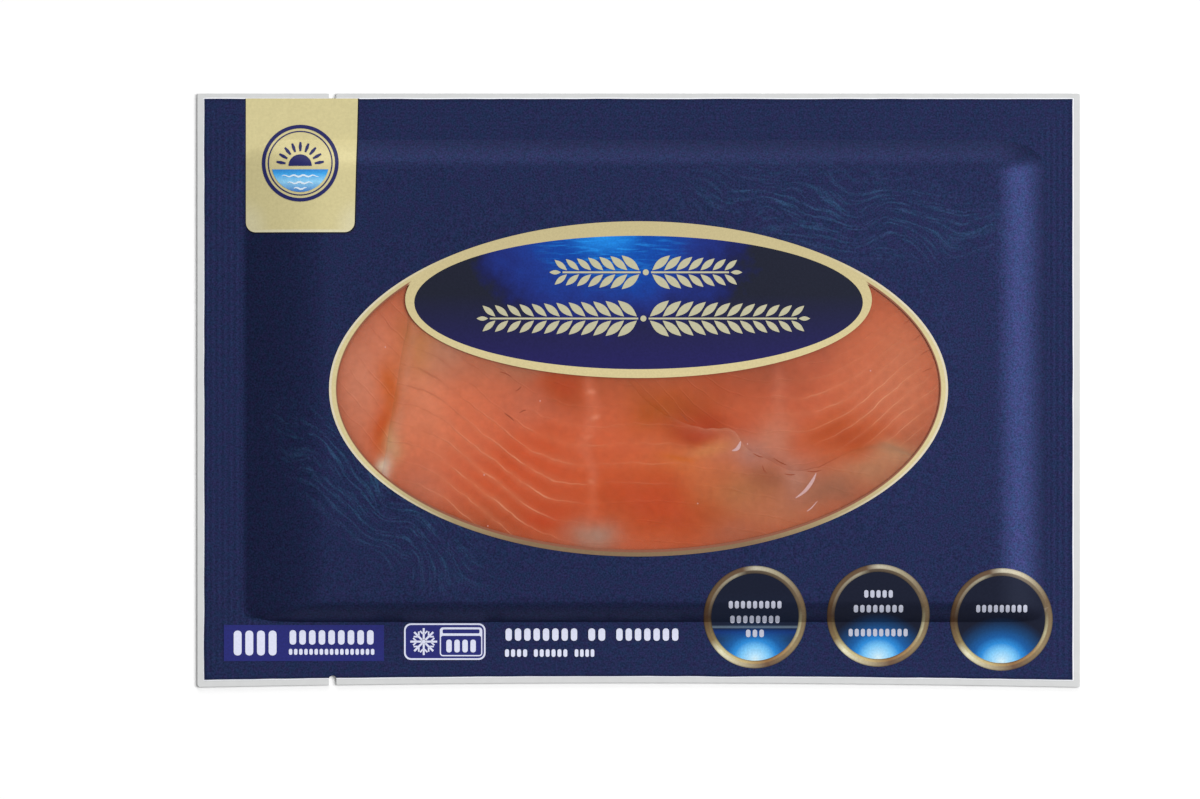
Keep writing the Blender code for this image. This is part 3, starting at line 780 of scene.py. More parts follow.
def smooth_path(points, steps):
    """Curve through a few points, with this many steps from each point to the next."""
    path = []
    last = len(points) - 1
    for k in range(last):
        p0, p1, p2, p3 = (Vector(points[min(max(k + j, 0), last)]) for j in (-1, 0, 1, 2))
        for step in range(steps):
            t = step / steps
            path.append(tuple(
                0.5 * ((2.0 * p1) + (p2 - p0) * t + (2.0 * p0 - 5.0 * p1 + 4.0 * p2 - p3) * t ** 2
                       + (3.0 * p1 - p0 - 3.0 * p2 + p3) * t ** 3)
            ))
    path.append(tuple(points[-1]))
    return path


def cut_along(sheet, x_lines, y_lines):
    """Splits the sheet's faces along lines of constant x and of constant y."""
    cuts = [((x, 0.0, 0.0), (1.0, 0.0, 0.0)) for x in x_lines]
    cuts += [((0.0, y, 0.0), (0.0, 1.0, 0.0)) for y in y_lines]
    xs = [corner.co.x for corner in sheet.verts]
    ys = [corner.co.y for corner in sheet.verts]
    for place, normal in cuts:
        near = min(xs) < place[0] < max(xs) if normal[0] else min(ys) < place[1] < max(ys)
        if near:
            geometry = sheet.verts[:] + sheet.edges[:] + sheet.faces[:]
            bmesh.ops.bisect_plane(sheet, geom=geometry, dist=0.01, plane_co=place, plane_no=normal)


def steps_between(start, end, step):
    """Even steps from start to end."""
    count = max(round(abs(end - start) / step), 1)
    return [start + (end - start) * k / count for k in range(count + 1)]


def cut_for_film(sheet):
    """Splits a sheet finely where the film under it bends, coarsely where it is nearly flat."""
    x_lines = steps_between(PLATEAU_LEFT, PLATEAU_LEFT + SHOULDER_LEFT, 1.0)
    x_lines += steps_between(PLATEAU_RIGHT - SHOULDER_RIGHT, PLATEAU_RIGHT, 0.8)
    x_lines += steps_between(-75.0, 85.0, 4.0)
    y_lines = steps_between(PLATEAU_BOTTOM, PLATEAU_BOTTOM + SHOULDER_BOTTOM, 0.4)
    y_lines += steps_between(PLATEAU_TOP - SHOULDER_TOP, PLATEAU_TOP, 0.5)
    y_lines += steps_between(-50.0, 50.0, 4.0)
    cut_along(sheet, x_lines, y_lines)


def solid_between(sheet, top, bottom):
    """Turns the flat sheet into a closed solid between two surfaces, given as heights over (x, y)."""
    made = bmesh.ops.extrude_face_region(sheet, geom=sheet.faces[:])
    lower = {item for item in made["geom"] if isinstance(item, bmesh.types.BMVert)}
    for corner in sheet.verts:
        surface = bottom if corner in lower else top
        corner.co.z = surface(corner.co.x, corner.co.y)
    bmesh.ops.recalc_face_normals(sheet, faces=sheet.faces[:])
    return sheet


def add_piece(name, solid, material, replaces=()):
    """Makes the finished piece, its place in its mesh, and ties it to the frame."""
    bmesh.ops.scale(solid, verts=solid.verts[:], vec=(MILLIMETRE,) * 3)
    mesh = bpy.data.meshes.new(name)
    solid.to_mesh(mesh)
    solid.free()
    mesh.shade_smooth()
    mesh.set_sharp_from_angle(angle=math.radians(30.0))
    mesh.materials.append(material)
    piece = bpy.data.objects.new(name, mesh)
    bpy.context.scene.collection.objects.link(piece)
    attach(piece, "root")
    if replaces:
        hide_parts(*replaces)
    return piece


def add_print(name, sheet, material, replaces=(), lift=PRINT_LIFT):
    """A layer of ink that follows the film, at a distance above it."""
    cut_for_film(sheet)
    solid = solid_between(
        sheet,
        lambda x, y: film_top(x, y) + lift + PRINT_THICKNESS,
        lambda x, y: film_top(x, y) + lift,
    )
    return add_piece(name, solid, material, replaces)


def cut_notch(piece, edge_y, depth, outward):
    """Cuts a slot with a round end into the pouch's edge; outward is 1 at the top, -1 at the bottom."""
    rod_length, past_edge = 8.0, 3.0
    rod = bmesh.new()
    bmesh.ops.create_cone(
        rod, cap_ends=True, segments=32, radius1=NOTCH_RADIUS, radius2=NOTCH_RADIUS, depth=rod_length,
    )
    for corner in rod.verts:
        if corner.co.y * outward > 0.0:
            corner.co.y += past_edge * outward
    centre_y = edge_y - outward * (depth - NOTCH_RADIUS)
    bmesh.ops.translate(rod, verts=rod.verts[:], vec=(NOTCH_X, centre_y, 0.0))
    bmesh.ops.scale(rod, verts=rod.verts[:], vec=(MILLIMETRE,) * 3)
    mesh = bpy.data.meshes.new("notch_rod")
    rod.to_mesh(mesh)
    rod.free()
    cutter = bpy.data.objects.new("notch_rod", mesh)
    bpy.context.scene.collection.objects.link(cutter)
    modifier = piece.modifiers.new("notch", "BOOLEAN")
    modifier.operation = "DIFFERENCE"
    modifier.solver = "EXACT"
    modifier.object = cutter
    bpy.context.view_layer.update()
    graph = bpy.context.evaluated_depsgraph_get()
    notched = bpy.data.meshes.new_from_object(piece.evaluated_get(graph))
    piece.modifiers.clear()
    piece.data = notched
    bpy.data.objects.remove(cutter)


def cut_notches(piece):
    cut_notch(piece, PACK_HEIGHT / 2.0, TOP_NOTCH_DEPTH, 1.0)
    cut_notch(piece, bowed(NOTCH_X, -PACK_HEIGHT / 2.0)[1], BOTTOM_NOTCH_DEPTH, -1.0)


# Materials
def add_node(tree, kind, settings=None, links=None):
    """Adds a node: settings go to its attributes, ramp stops or input sockets, links to its inputs."""
    node = tree.nodes.new(kind)
    for name, value in (settings or {}).items():
        if name == "stops":
            elements = node.color_ramp.elements
            while len(elements) < len(value):
                elements.new(0.5)
            for element, (place, code) in zip(elements, value):
                element.position = place
                element.color = rgba(linear(code) if isinstance(code, str) else code)
        elif isinstance(name, str) and hasattr(node, name):
            setattr(node, name, value)
        else:
            node.inputs[name].default_value = value
    for name, output in (links or {}).items():
        tree.links.new(output, node.inputs[name])
    return node


def new_material(name, settings):
    """A material whose Principled shader has these settings."""
    material = bpy.data.materials.new(name)
    material.use_nodes = True
    tree = material.node_tree
    shader = tree.nodes["Principled BSDF"]
    for socket, value in settings.items():
        shader.inputs[socket].default_value = value
    return material, tree, shader


def rgba(colour):
    return (*colour, 1.0)


def millimetre_place(tree):
    """Object coordinates in millimetres."""
    place = add_node(tree, "ShaderNodeTexCoord")
    return add_node(
        tree, "ShaderNodeVectorMath", {"operation": "SCALE", "Scale": 1.0 / MILLIMETRE},
        {0: place.outputs["Object"]},
    ).outputs[0]


def uneven_share(tree, place, grain, start, end, low=0.0, high=1.0):
    """A share that noise varies, low where the noise is at start and high at end, and the noise."""
    speckle = add_node(tree, "ShaderNodeTexNoise", grain, {"Vector": place}).outputs["Fac"]
    share = add_node(
        tree, "ShaderNodeMapRange",
        {"From Min": start, "From Max": end, "To Min": low, "To Max": high}, {"Value": speckle},
    )
    return share.outputs["Result"], speckle


def share_along_y(tree, place, start, end, low=0.0, high=1.0):
    """A share that goes evenly from low to high between two places up or down the print."""
    parts = add_node(tree, "ShaderNodeSeparateXYZ", links={0: place})
    return add_node(
        tree, "ShaderNodeMapRange",
        {"From Min": start, "From Max": end, "To Min": low, "To Max": high},
        {"Value": parts.outputs["Y"]},
    ).outputs["Result"]


def oval_reach(tree, place, centre, half_axes):
    """Distance from an oval's centre: 1 all along its outline, whatever the height."""
    centred = add_node(
        tree, "ShaderNodeMapping",
        {"vector_type": "TEXTURE", "Location": (*centre, 0.0), "Scale": (*half_axes, 1000.0)},
        {"Vector": place},
    )
    return add_node(
        tree, "ShaderNodeVectorMath", {"operation": "LENGTH"}, {0: centred.outputs[0]},
    ).outputs["Value"]


def soft_oval(tree, place, centre, half_axes, core, strength):
    """This strength in the core of an oval, falling smoothly to 0 at its outline."""
    return add_node(
        tree, "ShaderNodeMapRange",
        {"interpolation_type": "SMOOTHSTEP", "From Min": core, "From Max": 1.0,
         "To Min": strength, "To Max": 0.0},
        {"Value": oval_reach(tree, place, centre, half_axes)},
    ).outputs["Result"]


def grained(tree, colour, size, contrast, place):
    """A colour or colour output, unevenly lighter and darker by noise of this size in millimetres."""
    spread, speckle = uneven_share(
        tree, place, {"Scale": 1.0 / size, "Detail": 2.0, "Roughness": 0.6},
        0.3, 0.7, 1.0 - contrast, 1.0 + contrast,
    )
    settings, links = {"operation": "SCALE"}, {"Scale": spread}
    (links if isinstance(colour, bpy.types.NodeSocket) else settings)[0] = colour
    return add_node(tree, "ShaderNodeVectorMath", settings, links).outputs[0], speckle


def lay_colour(tree, shader, place, colour, size, contrast, relief=0.0):
    """Gives the shader a grained colour, and with relief, in millimetres, the feel of its grain."""
    grainy, speckle = grained(tree, colour, size, contrast, place)
    tree.links.new(grainy, shader.inputs["Base Color"])
    if relief:
        bump = add_node(
            tree, "ShaderNodeBump", {"Strength": 0.2, "Distance": relief * MILLIMETRE},
            {"Height": speckle},
        )
        tree.links.new(bump.outputs[0], shader.inputs["Normal"])


def satin_navy_film(film, with_pattern):
    """Matt-laminated polyester printed navy: a blue sheen, speckle of purple and teal, ribbed seals."""
    material, tree, shader = new_material("satin_navy_film", {
        "Roughness": film.roughness, "Specular IOR Level": 0.8,
    })
    place = millimetre_place(tree)
    hue, _ = uneven_share(tree, place, {"Scale": 0.8, "Detail": 3.0, "Roughness": 0.7}, 0.38, 0.62)
    tinted = []
    for colour, tints in (
        (film.navy, ((1.22, 0.88, 1.0), (0.8, 1.15, 1.01))),
        (film.navy_gloss, ((1.15, 0.93, 1.0), (0.84, 1.08, 0.99))),
    ):
        purple, teal = (rgba(Vector(colour) * Vector(tint)) for tint in tints)
        drift = add_node(tree, "ShaderNodeMix", {"data_type": "RGBA", 6: purple, 7: teal}, {0: hue})
        tinted.append(drift.outputs[2])
    print_colour, gloss = tinted
    depth = add_node(tree, "ShaderNodeAttribute", {"attribute_name": "seal_depth"})
    if with_pattern:
        for centre, half_size, turn in FLOW_PATCHES:
            print_colour = flowing_strokes(tree, place, print_colour, film, centre, half_size, turn)
        # The sheen is duller along the print's border
        edge = add_node(
            tree, "ShaderNodeMapRange", {"From Min": 0.25, "From Max": 0.75, "To Min": 0.7, "To Max": 1.0},
            {"Value": depth.outputs["Fac"]},
        )
        gloss = add_node(
            tree, "ShaderNodeVectorMath", {"operation": "SCALE"}, {0: gloss, "Scale": edge.outputs[0]},
        ).outputs[0]
    size = film.grain / MILLIMETRE
    colour, speckle = grained(tree, print_colour, size, 0.46, place)
    tree.links.new(colour, shader.inputs["Base Color"])
    sheen, _ = grained(tree, gloss, size, 0.38, place)
    tree.links.new(sheen, shader.inputs["Specular Tint"])
    bump = add_node(
        tree, "ShaderNodeBump", {"Strength": 0.3, "Distance": 0.05 * MILLIMETRE}, {"Height": speckle},
    )
    seal = add_node(tree, "ShaderNodeAttribute", {"attribute_name": "seal"})
    turns = add_node(
        tree, "ShaderNodeMath",
        {"operation": "MULTIPLY", 1: 2.0 * math.pi * MILLIMETRE / film.rib_pitch},
        {0: depth.outputs["Fac"]},
    )
    wave = add_node(tree, "ShaderNodeMath", {"operation": "SINE"}, {0: turns.outputs[0]})
    ribs = add_node(
        tree, "ShaderNodeMath", {"operation": "MULTIPLY"}, {0: wave.outputs[0], 1: seal.outputs["Fac"]},
    )
    ribbed = add_node(
        tree, "ShaderNodeBump", {"Strength": 0.22, "Distance": 0.03 * MILLIMETRE},
        {"Height": ribs.outputs[0], "Normal": bump.outputs[0]},
    )
    tree.links.new(ribbed.outputs[0], shader.inputs["Normal"])
    return material


def flowing_strokes(tree, place, colour, film, centre, half_size, turn):
    """Faint brushed strokes like a current in water, inside a soft oval of the print."""
    local = add_node(
        tree, "ShaderNodeMapping",
        {"vector_type": "TEXTURE", "Location": (*centre, 0.0), "Rotation": (0.0, 0.0, turn)},
        {"Vector": place},
    )
    warp = add_node(
        tree, "ShaderNodeTexNoise", {"Scale": 0.045, "Detail": 1.5}, {"Vector": local.outputs[0]},
    )
    bend = add_node(
        tree, "ShaderNodeVectorMath", {"operation": "MULTIPLY_ADD", 1: (0.0, 26.0, 0.0)},
        {0: warp.outputs["Color"], 2: local.outputs[0]},
    )
    # Strokes about 10 mm long and 1 mm apart
    drawn_out = add_node(
        tree, "ShaderNodeMapping", {"Scale": (0.11, 1.0, 1.0)}, {"Vector": bend.outputs[0]},
    )
    stroke, _ = uneven_share(
        tree, drawn_out.outputs[0], {"Scale": 0.9, "Detail": 3.0, "Roughness": 0.65}, 0.5, 0.68,
    )
    spread = add_node(
        tree, "ShaderNodeVectorMath", {"operation": "DIVIDE", 1: (*half_size, 50.0)},
        {0: local.outputs[0]},
    )
    reach = add_node(tree, "ShaderNodeVectorMath", {"operation": "LENGTH"}, {0: spread.outputs[0]})
    fade = add_node(
        tree, "ShaderNodeMapRange", {"From Min": 0.45, "From Max": 1.0, "To Min": 0.6, "To Max": 0.0},
        {"Value": reach.outputs["Value"]},
    )
    strength = add_node(
        tree, "ShaderNodeMath", {"operation": "MULTIPLY"}, {0: stroke, 1: fade.outputs[0]},
    )
    mixed = add_node(
        tree, "ShaderNodeMix", {"data_type": "RGBA", 7: rgba(film.pattern)},
        {0: strength.outputs[0], 6: colour},
    )
    return mixed.outputs[2]


def clear_film(film):
    """Unprinted polyamide laminate: pale, slightly cloudy, hardly see-through over a pale floor."""
    material, tree, shader = new_material("clear_polyamide_film", {"Roughness": 0.35, "Alpha": 0.9})
    lay_colour(tree, shader, millimetre_place(tree), tuple(film.clear), 2.5, 0.02, 0.1)
    return material


def window_film(fish):
    """Clear glossy film that clings to the fish: takes on its colour, with soft small highlights."""
    material, tree, shader = new_material("clear_window_film", {
        "Base Color": (0.58, 0.14, 0.07, 1.0),
        "Roughness": 0.12,
        "Specular IOR Level": 1.0,
        "Alpha": fish.haze,
    })
    swell = add_node(
        tree, "ShaderNodeTexNoise", {"Scale": 0.12, "Detail": 3.0}, {"Vector": millimetre_place(tree)},
    )
    bump = add_node(
        tree, "ShaderNodeBump", {"Strength": 0.4, "Distance": 0.6 * MILLIMETRE},
        {"Height": swell.outputs["Fac"]},
    )
    tree.links.new(bump.outputs[0], shader.inputs["Normal"])
    return material


def ink(name, colour, roughness, metallic=0.0, contrast=0.05):
    """Flexographic ink under matt laminate: even colour with the laminate's fine grain."""
    material, tree, shader = new_material(name, {
        "Roughness": roughness, "Metallic": metallic, "Specular IOR Level": 0.2,
    })
    lay_colour(tree, shader, millimetre_place(tree), tuple(colour), 0.5, contrast, LAMINATE_RELIEF)
    return material


def tag_gold(prints):
    """Gold ink of the corner tag: satin, with painted highlights at its lower corners and along its foot."""
    material, tree, shader = new_material("tag_gold_ink_with_painted_highlights", {
        "Roughness": 0.4, "Metallic": 0.1, "Specular IOR Level": 0.3,
    })
    place = millimetre_place(tree)
    left, bottom, right, _ = TAG
    parts = add_node(tree, "ShaderNodeSeparateXYZ", links={0: place})
    # Painted highlights: a pale band along the tag's foot and soft pale patches at its lower corners
    foot = add_node(
        tree, "ShaderNodeMapRange",
        {"interpolation_type": "SMOOTHSTEP", "From Min": bottom + 0.4, "From Max": bottom + 0.9,
         "To Min": 0.8, "To Max": 0.0},
        {"Value": parts.outputs["Y"]},
    )
    strength = foot.outputs[0]
    for corner_x in (left, right):
        sheen = soft_oval(tree, place, (corner_x, bottom + 1.0), (7.0, 9.0), 0.2, 0.5)
        strength = add_node(
            tree, "ShaderNodeMath", {"operation": "MAXIMUM"}, {0: sheen, 1: strength},
        ).outputs[0]
    mixed = add_node(
        tree, "ShaderNodeMix",
        {"data_type": "RGBA", 6: rgba(prints.tag_gold), 7: rgba(linear("#dcd6b6"))}, {0: strength},
    )
    lay_colour(tree, shader, place, mixed.outputs[2], 0.7, 0.05, LAMINATE_RELIEF)
    return material


def emblem_water():
    """Print of water in the emblem: pale blue at the surface, deeper blue below."""
    material, tree, shader = new_material("emblem_water_ink", {
        "Roughness": 0.4, "Specular IOR Level": 0.2,
    })
    place = millimetre_place(tree)
    depth = share_along_y(tree, place, EMBLEM_CENTRE[1] - 1.0, EMBLEM_CENTRE[1] - 7.5)
    colour = add_node(tree, "ShaderNodeValToRGB", {"stops": (
        (0.0, "#2a6ec4"), (0.25, "#3ea2e4"), (0.55, "#8fcdf0"), (1.0, "#2a63b4"),
    )}, {"Fac": depth})
    lay_colour(tree, shader, place, colour.outputs["Color"], 0.5, 0.1)
    return material


def rim_gold_with_painted_light(prints):
    """Pale gold ink of the window rim, with painted shade in brown at its foot, a painted brown shadow
    against the fish, a little darker towards its top, and a painted highlight on its outer edge at the sides.
    """
    material, tree, shader = new_material("gold_rim_ink_with_painted_light", {
        "Roughness": 0.45, "Metallic": 0.1, "Specular IOR Level": 0.3,
    })
    place = millimetre_place(tree)
    # Painted shade: towards its foot the gold turns brown; towards its top it is a little darker
    low = share_along_y(tree, place, -20.0, -38.0)
    high = share_along_y(tree, place, 12.0, 40.0, 1.0, 0.83)
    darker_towards_top = add_node(
        tree, "ShaderNodeVectorMath", {"operation": "SCALE", 0: tuple(prints.gold)}, {"Scale": high},
    )
    gold = add_node(
        tree, "ShaderNodeMix", {"data_type": "RGBA", 7: rgba(prints.gold_painted_shade)},
        {0: low, 6: darker_towards_top.outputs[0]},
    )
    # Painted shadow: brown on the rim's inner edge against the fish, but not where the title oval meets it
    window_reach = oval_reach(tree, place, (0.0, WINDOW_CENTRE_Y), RIM_SHADE)
    title_reach = oval_reach(tree, place, (0.0, TITLE_OUTER_CENTRE_Y), TITLE_OUTER)
    inner = add_node(
        tree, "ShaderNodeMapRange", {"From Min": 0.999, "From Max": 1.002, "To Min": 1.0, "To Max": 0.0},
        {"Value": window_reach},
    )
    beyond_title = add_node(
        tree, "ShaderNodeMapRange", {"From Min": 1.001, "From Max": 1.008}, {"Value": title_reach},
    )
    shade = add_node(
        tree, "ShaderNodeMath", {"operation": "MULTIPLY"},
        {0: inner.outputs[0], 1: beyond_title.outputs[0]},
    )
    shaded = add_node(
        tree, "ShaderNodeMix", {"data_type": "RGBA", 7: rgba(prints.rim_painted_shadow)},
        {0: shade.outputs[0], 6: gold.outputs[2]},
    )
    # Painted highlight: a pale line on the rim's outer edge at its sides
    parts = add_node(tree, "ShaderNodeSeparateXYZ", links={0: place})
    off_middle = add_node(tree, "ShaderNodeMath", {"operation": "ABSOLUTE"}, {0: parts.outputs["X"]})
    at_side = add_node(
        tree, "ShaderNodeMapRange", {"From Min": 45.0, "From Max": 66.0}, {"Value": off_middle.outputs[0]},
    )
    at_edge = add_node(
        tree, "ShaderNodeMapRange", {"From Min": 1.0145, "From Max": 1.0165}, {"Value": window_reach},
    )
    edge_highlight = add_node(
        tree, "ShaderNodeMath", {"operation": "MULTIPLY"}, {0: at_side.outputs[0], 1: at_edge.outputs[0]},
    )
    edged = add_node(
        tree, "ShaderNodeMix", {"data_type": "RGBA", 7: rgba(linear("#d8ceb4"))},
        {0: edge_highlight.outputs[0], 6: shaded.outputs[2]},
    )
    lay_colour(tree, shader, place, edged.outputs[2], 0.5, 0.06, LAMINATE_RELIEF)
    return material


def title_ink(prints):
    """Dark blue print like deep water: a blue glow at the top with fine streaks of light."""
    material, tree, shader = new_material("deep_blue_title_ink", {
        "Roughness": 0.4, "Specular IOR Level": 0.18, "Specular Tint": (0.6, 0.68, 1.0, 1.0),
    })
    place = millimetre_place(tree)
    drift = add_node(
        tree, "ShaderNodeTexNoise", {"Scale": 0.09, "Detail": 4.0, "Roughness": 0.6}, {"Vector": place},
    )
    reach = oval_reach(tree, place, (-7.0, 39.0), (50.0, 36.0))
    uneven = add_node(
        tree, "ShaderNodeMath", {"operation": "MULTIPLY_ADD", 1: 0.5}, {0: drift.outputs["Fac"], 2: reach},
    )
    # The noise adds about a quarter to the distance from the glow's middle
    colour = add_node(tree, "ShaderNodeValToRGB", {"stops": (
        (0.24, "#0a62c0"), (0.4, prints.title_blue), (0.55, "#0c409a"), (0.7, "#1a3384"),
        (0.8, "#1b2a74"), (0.92, "#181c4e"), (1.0, prints.title_dark),
    )}, {"Fac": uneven.outputs[0]})
    violet = add_node(
        tree, "ShaderNodeMix", {"data_type": "RGBA", 7: rgba(linear("#231e5a"))},
        {0: share_along_y(tree, place, 24.0, 8.0, 0.0, 0.85), 6: colour.outputs["Color"]},
    )
    slanted = add_node(
        tree, "ShaderNodeMapping",
        {"Rotation": (0.0, 0.0, 0.35), "Scale": (0.18, 1.3, 1.0)}, {"Vector": place},
    )
    bright, _ = uneven_share(tree, slanted.outputs[0], {"Scale": 1.0, "Detail": 3.0}, 0.5, 0.72)
    near = add_node(
        tree, "ShaderNodeMapRange", {"From Min": 0.08, "From Max": 0.42, "To Min": 0.95, "To Max": 0.0},
        {"Value": reach},
    )
    strength = add_node(
        tree, "ShaderNodeMath", {"operation": "MULTIPLY"}, {0: bright, 1: near.outputs[0]},
    )
    streaked = add_node(
        tree, "ShaderNodeMix", {"data_type": "RGBA", 7: rgba(linear("#2596ee"))},
        {0: strength.outputs[0], 6: violet.outputs[2]},
    )
    pooled = add_node(
        tree, "ShaderNodeMix", {"data_type": "RGBA", 7: rgba(linear("#1c86e0"))},
        {0: soft_oval(tree, place, (-8.5, 37.5), (11.0, 5.0), 0.1, 0.75), 6: streaked.outputs[2]},
    )
    lay_colour(tree, shader, place, pooled.outputs[2], 0.5, 0.12)
    return material


def badge_disc_ink():
    """Dark print with a pool of blue light at its foot, and on one badge a horizon at sea."""
    material, tree, shader = new_material("badge_disc_ink", {
        "Roughness": 0.5, "Specular IOR Level": 0.12, "Specular Tint": (0.5, 0.6, 1.0, 1.0),
    })
    local = add_node(tree, "ShaderNodeAttribute", {"attribute_name": "badge_place"}).outputs["Vector"]
    glow = add_node(tree, "ShaderNodeValToRGB", {"stops": (
        (0.0, "#cfe9f2"), (0.12, "#a8d8f4"), (0.27, "#76c0ef"), (0.41, "#2e88d2"),
        (0.56, "#1b5a9c"), (0.74, "#1a4270"), (0.9, "#192a46"), (1.0, "#191c2b"),
    )}, {"Fac": oval_reach(tree, local, (0.0, -0.817), (1.0, 0.866))})
    # From the sea's dark far edge over a pale line to the dark of night
    horizon = add_node(tree, "ShaderNodeValToRGB", {"stops": (
        (0.0, "#1b5797"), (0.2, "#123a86"), (0.27, "#0f2145"), (0.3, "#6b7c8c"), (0.34, "#1a2236"),
        (1.0, "#171b2b"),
    )}, {"Fac": share_along_y(tree, local, -0.5, 0.5)})
    parts = add_node(tree, "ShaderNodeSeparateXYZ", links={0: local})
    strength = add_node(
        tree, "ShaderNodeMath", {"operation": "MULTIPLY"},
        {0: share_along_y(tree, local, -0.45, -0.25, 0.0, 0.85), 1: parts.outputs["Z"]},
    )
    mixed = add_node(
        tree, "ShaderNodeMix", {"data_type": "RGBA"},
        {0: strength.outputs[0], 6: glow.outputs["Color"], 7: horizon.outputs["Color"]},
    )
    lay_colour(tree, shader, millimetre_place(tree), mixed.outputs[2], 0.5, 0.1)
    return material


def badge_ring_ink(prints):
    """Gold print drawn like a turned ring: two bands that go from pale gold to brown round it."""
    material, tree, shader = new_material("badge_ring_ink", {
        "Roughness": 0.4, "Metallic": 0.1, "Specular IOR Level": 0.3,
    })
    local = add_node(tree, "ShaderNodeAttribute", {"attribute_name": "badge_place"}).outputs["Vector"]
    gradient = add_node(tree, "ShaderNodeTexGradient", {"gradient_type": "RADIAL"}, {"Vector": local})
    # The gradient runs from the left, 0, below the centre and round to the left again, 1
    outer_band, inner_band = (
        add_node(tree, "ShaderNodeValToRGB", {"stops": stops}, {"Fac": gradient.outputs["Fac"]})
        for stops in (
            ((0.0, prints.bronze), (0.08, "#7c6846"), (0.125, "#dcd8b8"), (0.21, "#b0a384"),
             (0.29, "#664c3a"), (0.4, "#8a7858"), (0.56, "#6e5a42"), (0.68, "#a1977d"),
             (0.75, "#b6b09c"), (0.79, "#5e4632"), (0.92, "#5c472e"), (1.0, prints.bronze)),
            ((0.0, "#4c3726"), (0.08, "#86744c"), (0.125, "#c4bd90"), (0.21, "#c2ac78"),
             (0.29, "#8a643d"), (0.37, "#a18257"), (0.45, "#b0a986"), (0.53, "#665640"),
             (0.78, "#4e4134"), (0.82, "#98917c"), (0.92, "#776a58"), (1.0, "#4c3726")),
        )
    )
    reach = add_node(tree, "ShaderNodeVectorMath", {"operation": "LENGTH"}, {0: local})
    outer = add_node(
        tree, "ShaderNodeMapRange", {"From Min": 0.903, "From Max": 0.923},
        {"Value": reach.outputs["Value"]},
    )
    banded = add_node(
        tree, "ShaderNodeMix", {"data_type": "RGBA"},
        {0: outer.outputs["Result"], 6: inner_band.outputs["Color"], 7: outer_band.outputs["Color"]},
    )
    middle = (1.0 + BADGE_DISC_RADIUS / BADGE_RADIUS) / 2.0
    past_middle = add_node(
        tree, "ShaderNodeMath", {"operation": "SUBTRACT", 1: middle}, {0: reach.outputs["Value"]},
    )
    off_middle = add_node(tree, "ShaderNodeMath", {"operation": "ABSOLUTE"}, {0: past_middle.outputs[0]})
    shade = add_node(
        tree, "ShaderNodeMapRange", {"From Min": 0.045, "From Max": 0.075, "To Min": 1.08, "To Max": 0.45},
        {"Value": off_middle.outputs[0]},
    )
    shaded = add_node(
        tree, "ShaderNodeVectorMath", {"operation": "SCALE"},
        {0: banded.outputs[2], "Scale": shade.outputs[0]},
    )
    lay_colour(tree, shader, millimetre_place(tree), shaded.outputs[0], 0.4, 0.1)
    return material


def fish_flesh(fish):
    """Cold-smoked salmon: soft, oily, slightly see-through flesh with thin lines of pale fat."""
    material, tree, shader = new_material("smoked_salmon_flesh", {
        "Roughness": 0.42,
        "Specular IOR Level": 0.3,
        "Specular Tint": (1.0, 0.85, 0.75, 1.0),
        "Subsurface Weight": 0.25,
        "Subsurface Radius": (1.0, 0.35, 0.18),
        "Subsurface Scale": 1.5 * MILLIMETRE,
    })
    place = millimetre_place(tree)
    flesh, phase, light, dark = (
        add_node(tree, "ShaderNodeAttribute", {"attribute_name": name})
        for name in ("flesh", "line_phase", "fat_light", "fat_dark")
    )
    wobble = add_node(
        tree, "ShaderNodeTexNoise", {"Scale": 0.16, "Detail": 2.0}, {"Vector": place},
    )
    bent = add_node(
        tree, "ShaderNodeMath", {"operation": "MULTIPLY_ADD", 1: 0.5},
        {0: wobble.outputs["Fac"], 2: phase.outputs["Fac"]},
    )
    off_line = add_node(tree, "ShaderNodeMath", {"operation": "PINGPONG", 1: 0.5}, {0: bent.outputs[0]})
    core, halo = (
        add_node(
            tree, "ShaderNodeMapRange",
            {"interpolation_type": "SMOOTHSTEP", "From Min": 0.0, "From Max": width,
             "To Min": strength, "To Max": 0.0},
            {"Value": off_line.outputs[0]},
        )
        for width, strength in ((fish.line_width / MILLIMETRE / RIGHT_LINE_PITCH, 1.0), (0.4, 0.22))
    )
    broken, _ = uneven_share(tree, place, {"Scale": 0.14, "Detail": 2.0}, 0.38, 0.64, 0.05, 1.0)
    line = add_node(
        tree, "ShaderNodeMath", {"operation": "MULTIPLY_ADD"},
        {0: core.outputs[0], 1: broken, 2: halo.outputs[0]},
    )
    mottled, speckle = grained(tree, flesh.outputs["Color"], 1.6, 0.07, place)
    colour = mottled
    for strength, tint in ((light, fish.fat), (dark, fish.dark)):
        share = add_node(
            tree, "ShaderNodeMath", {"operation": "MULTIPLY"},
            {0: line.outputs[0], 1: strength.outputs["Fac"]},
        )
        colour = add_node(
            tree, "ShaderNodeMix", {"data_type": "RGBA", 7: rgba(tint)}, {0: share.outputs[0], 6: colour},
        ).outputs[2]
    tree.links.new(colour, shader.inputs["Base Color"])
    lumps = add_node(
        tree, "ShaderNodeMath", {"operation": "MULTIPLY_ADD", 1: 0.6}, {0: speckle, 2: line.outputs[0]},
    )
    bump = add_node(
        tree, "ShaderNodeBump", {"Strength": 0.35, "Distance": 0.1 * MILLIMETRE},
        {"Height": lumps.outputs[0]},
    )
    tree.links.new(bump.outputs[0], shader.inputs["Normal"])
    return material


# Colour and lines of the flesh
def soft_patch(x, y, patch):
    """1 in the middle of a soft oval patch, falling smoothly to nearly 0 past its edge."""
    return math.exp(-((x - patch[0]) / patch[2]) ** 2 - ((y - patch[1]) / patch[3]) ** 2)


PATCH_TINTS = tuple(Vector(linear(patch[4])) for patch in FLESH_PATCHES)
EDGE_PALE = Vector(linear("#d39a7e"))
EDGE_WHITE = Vector(linear("#d9b9a8"))


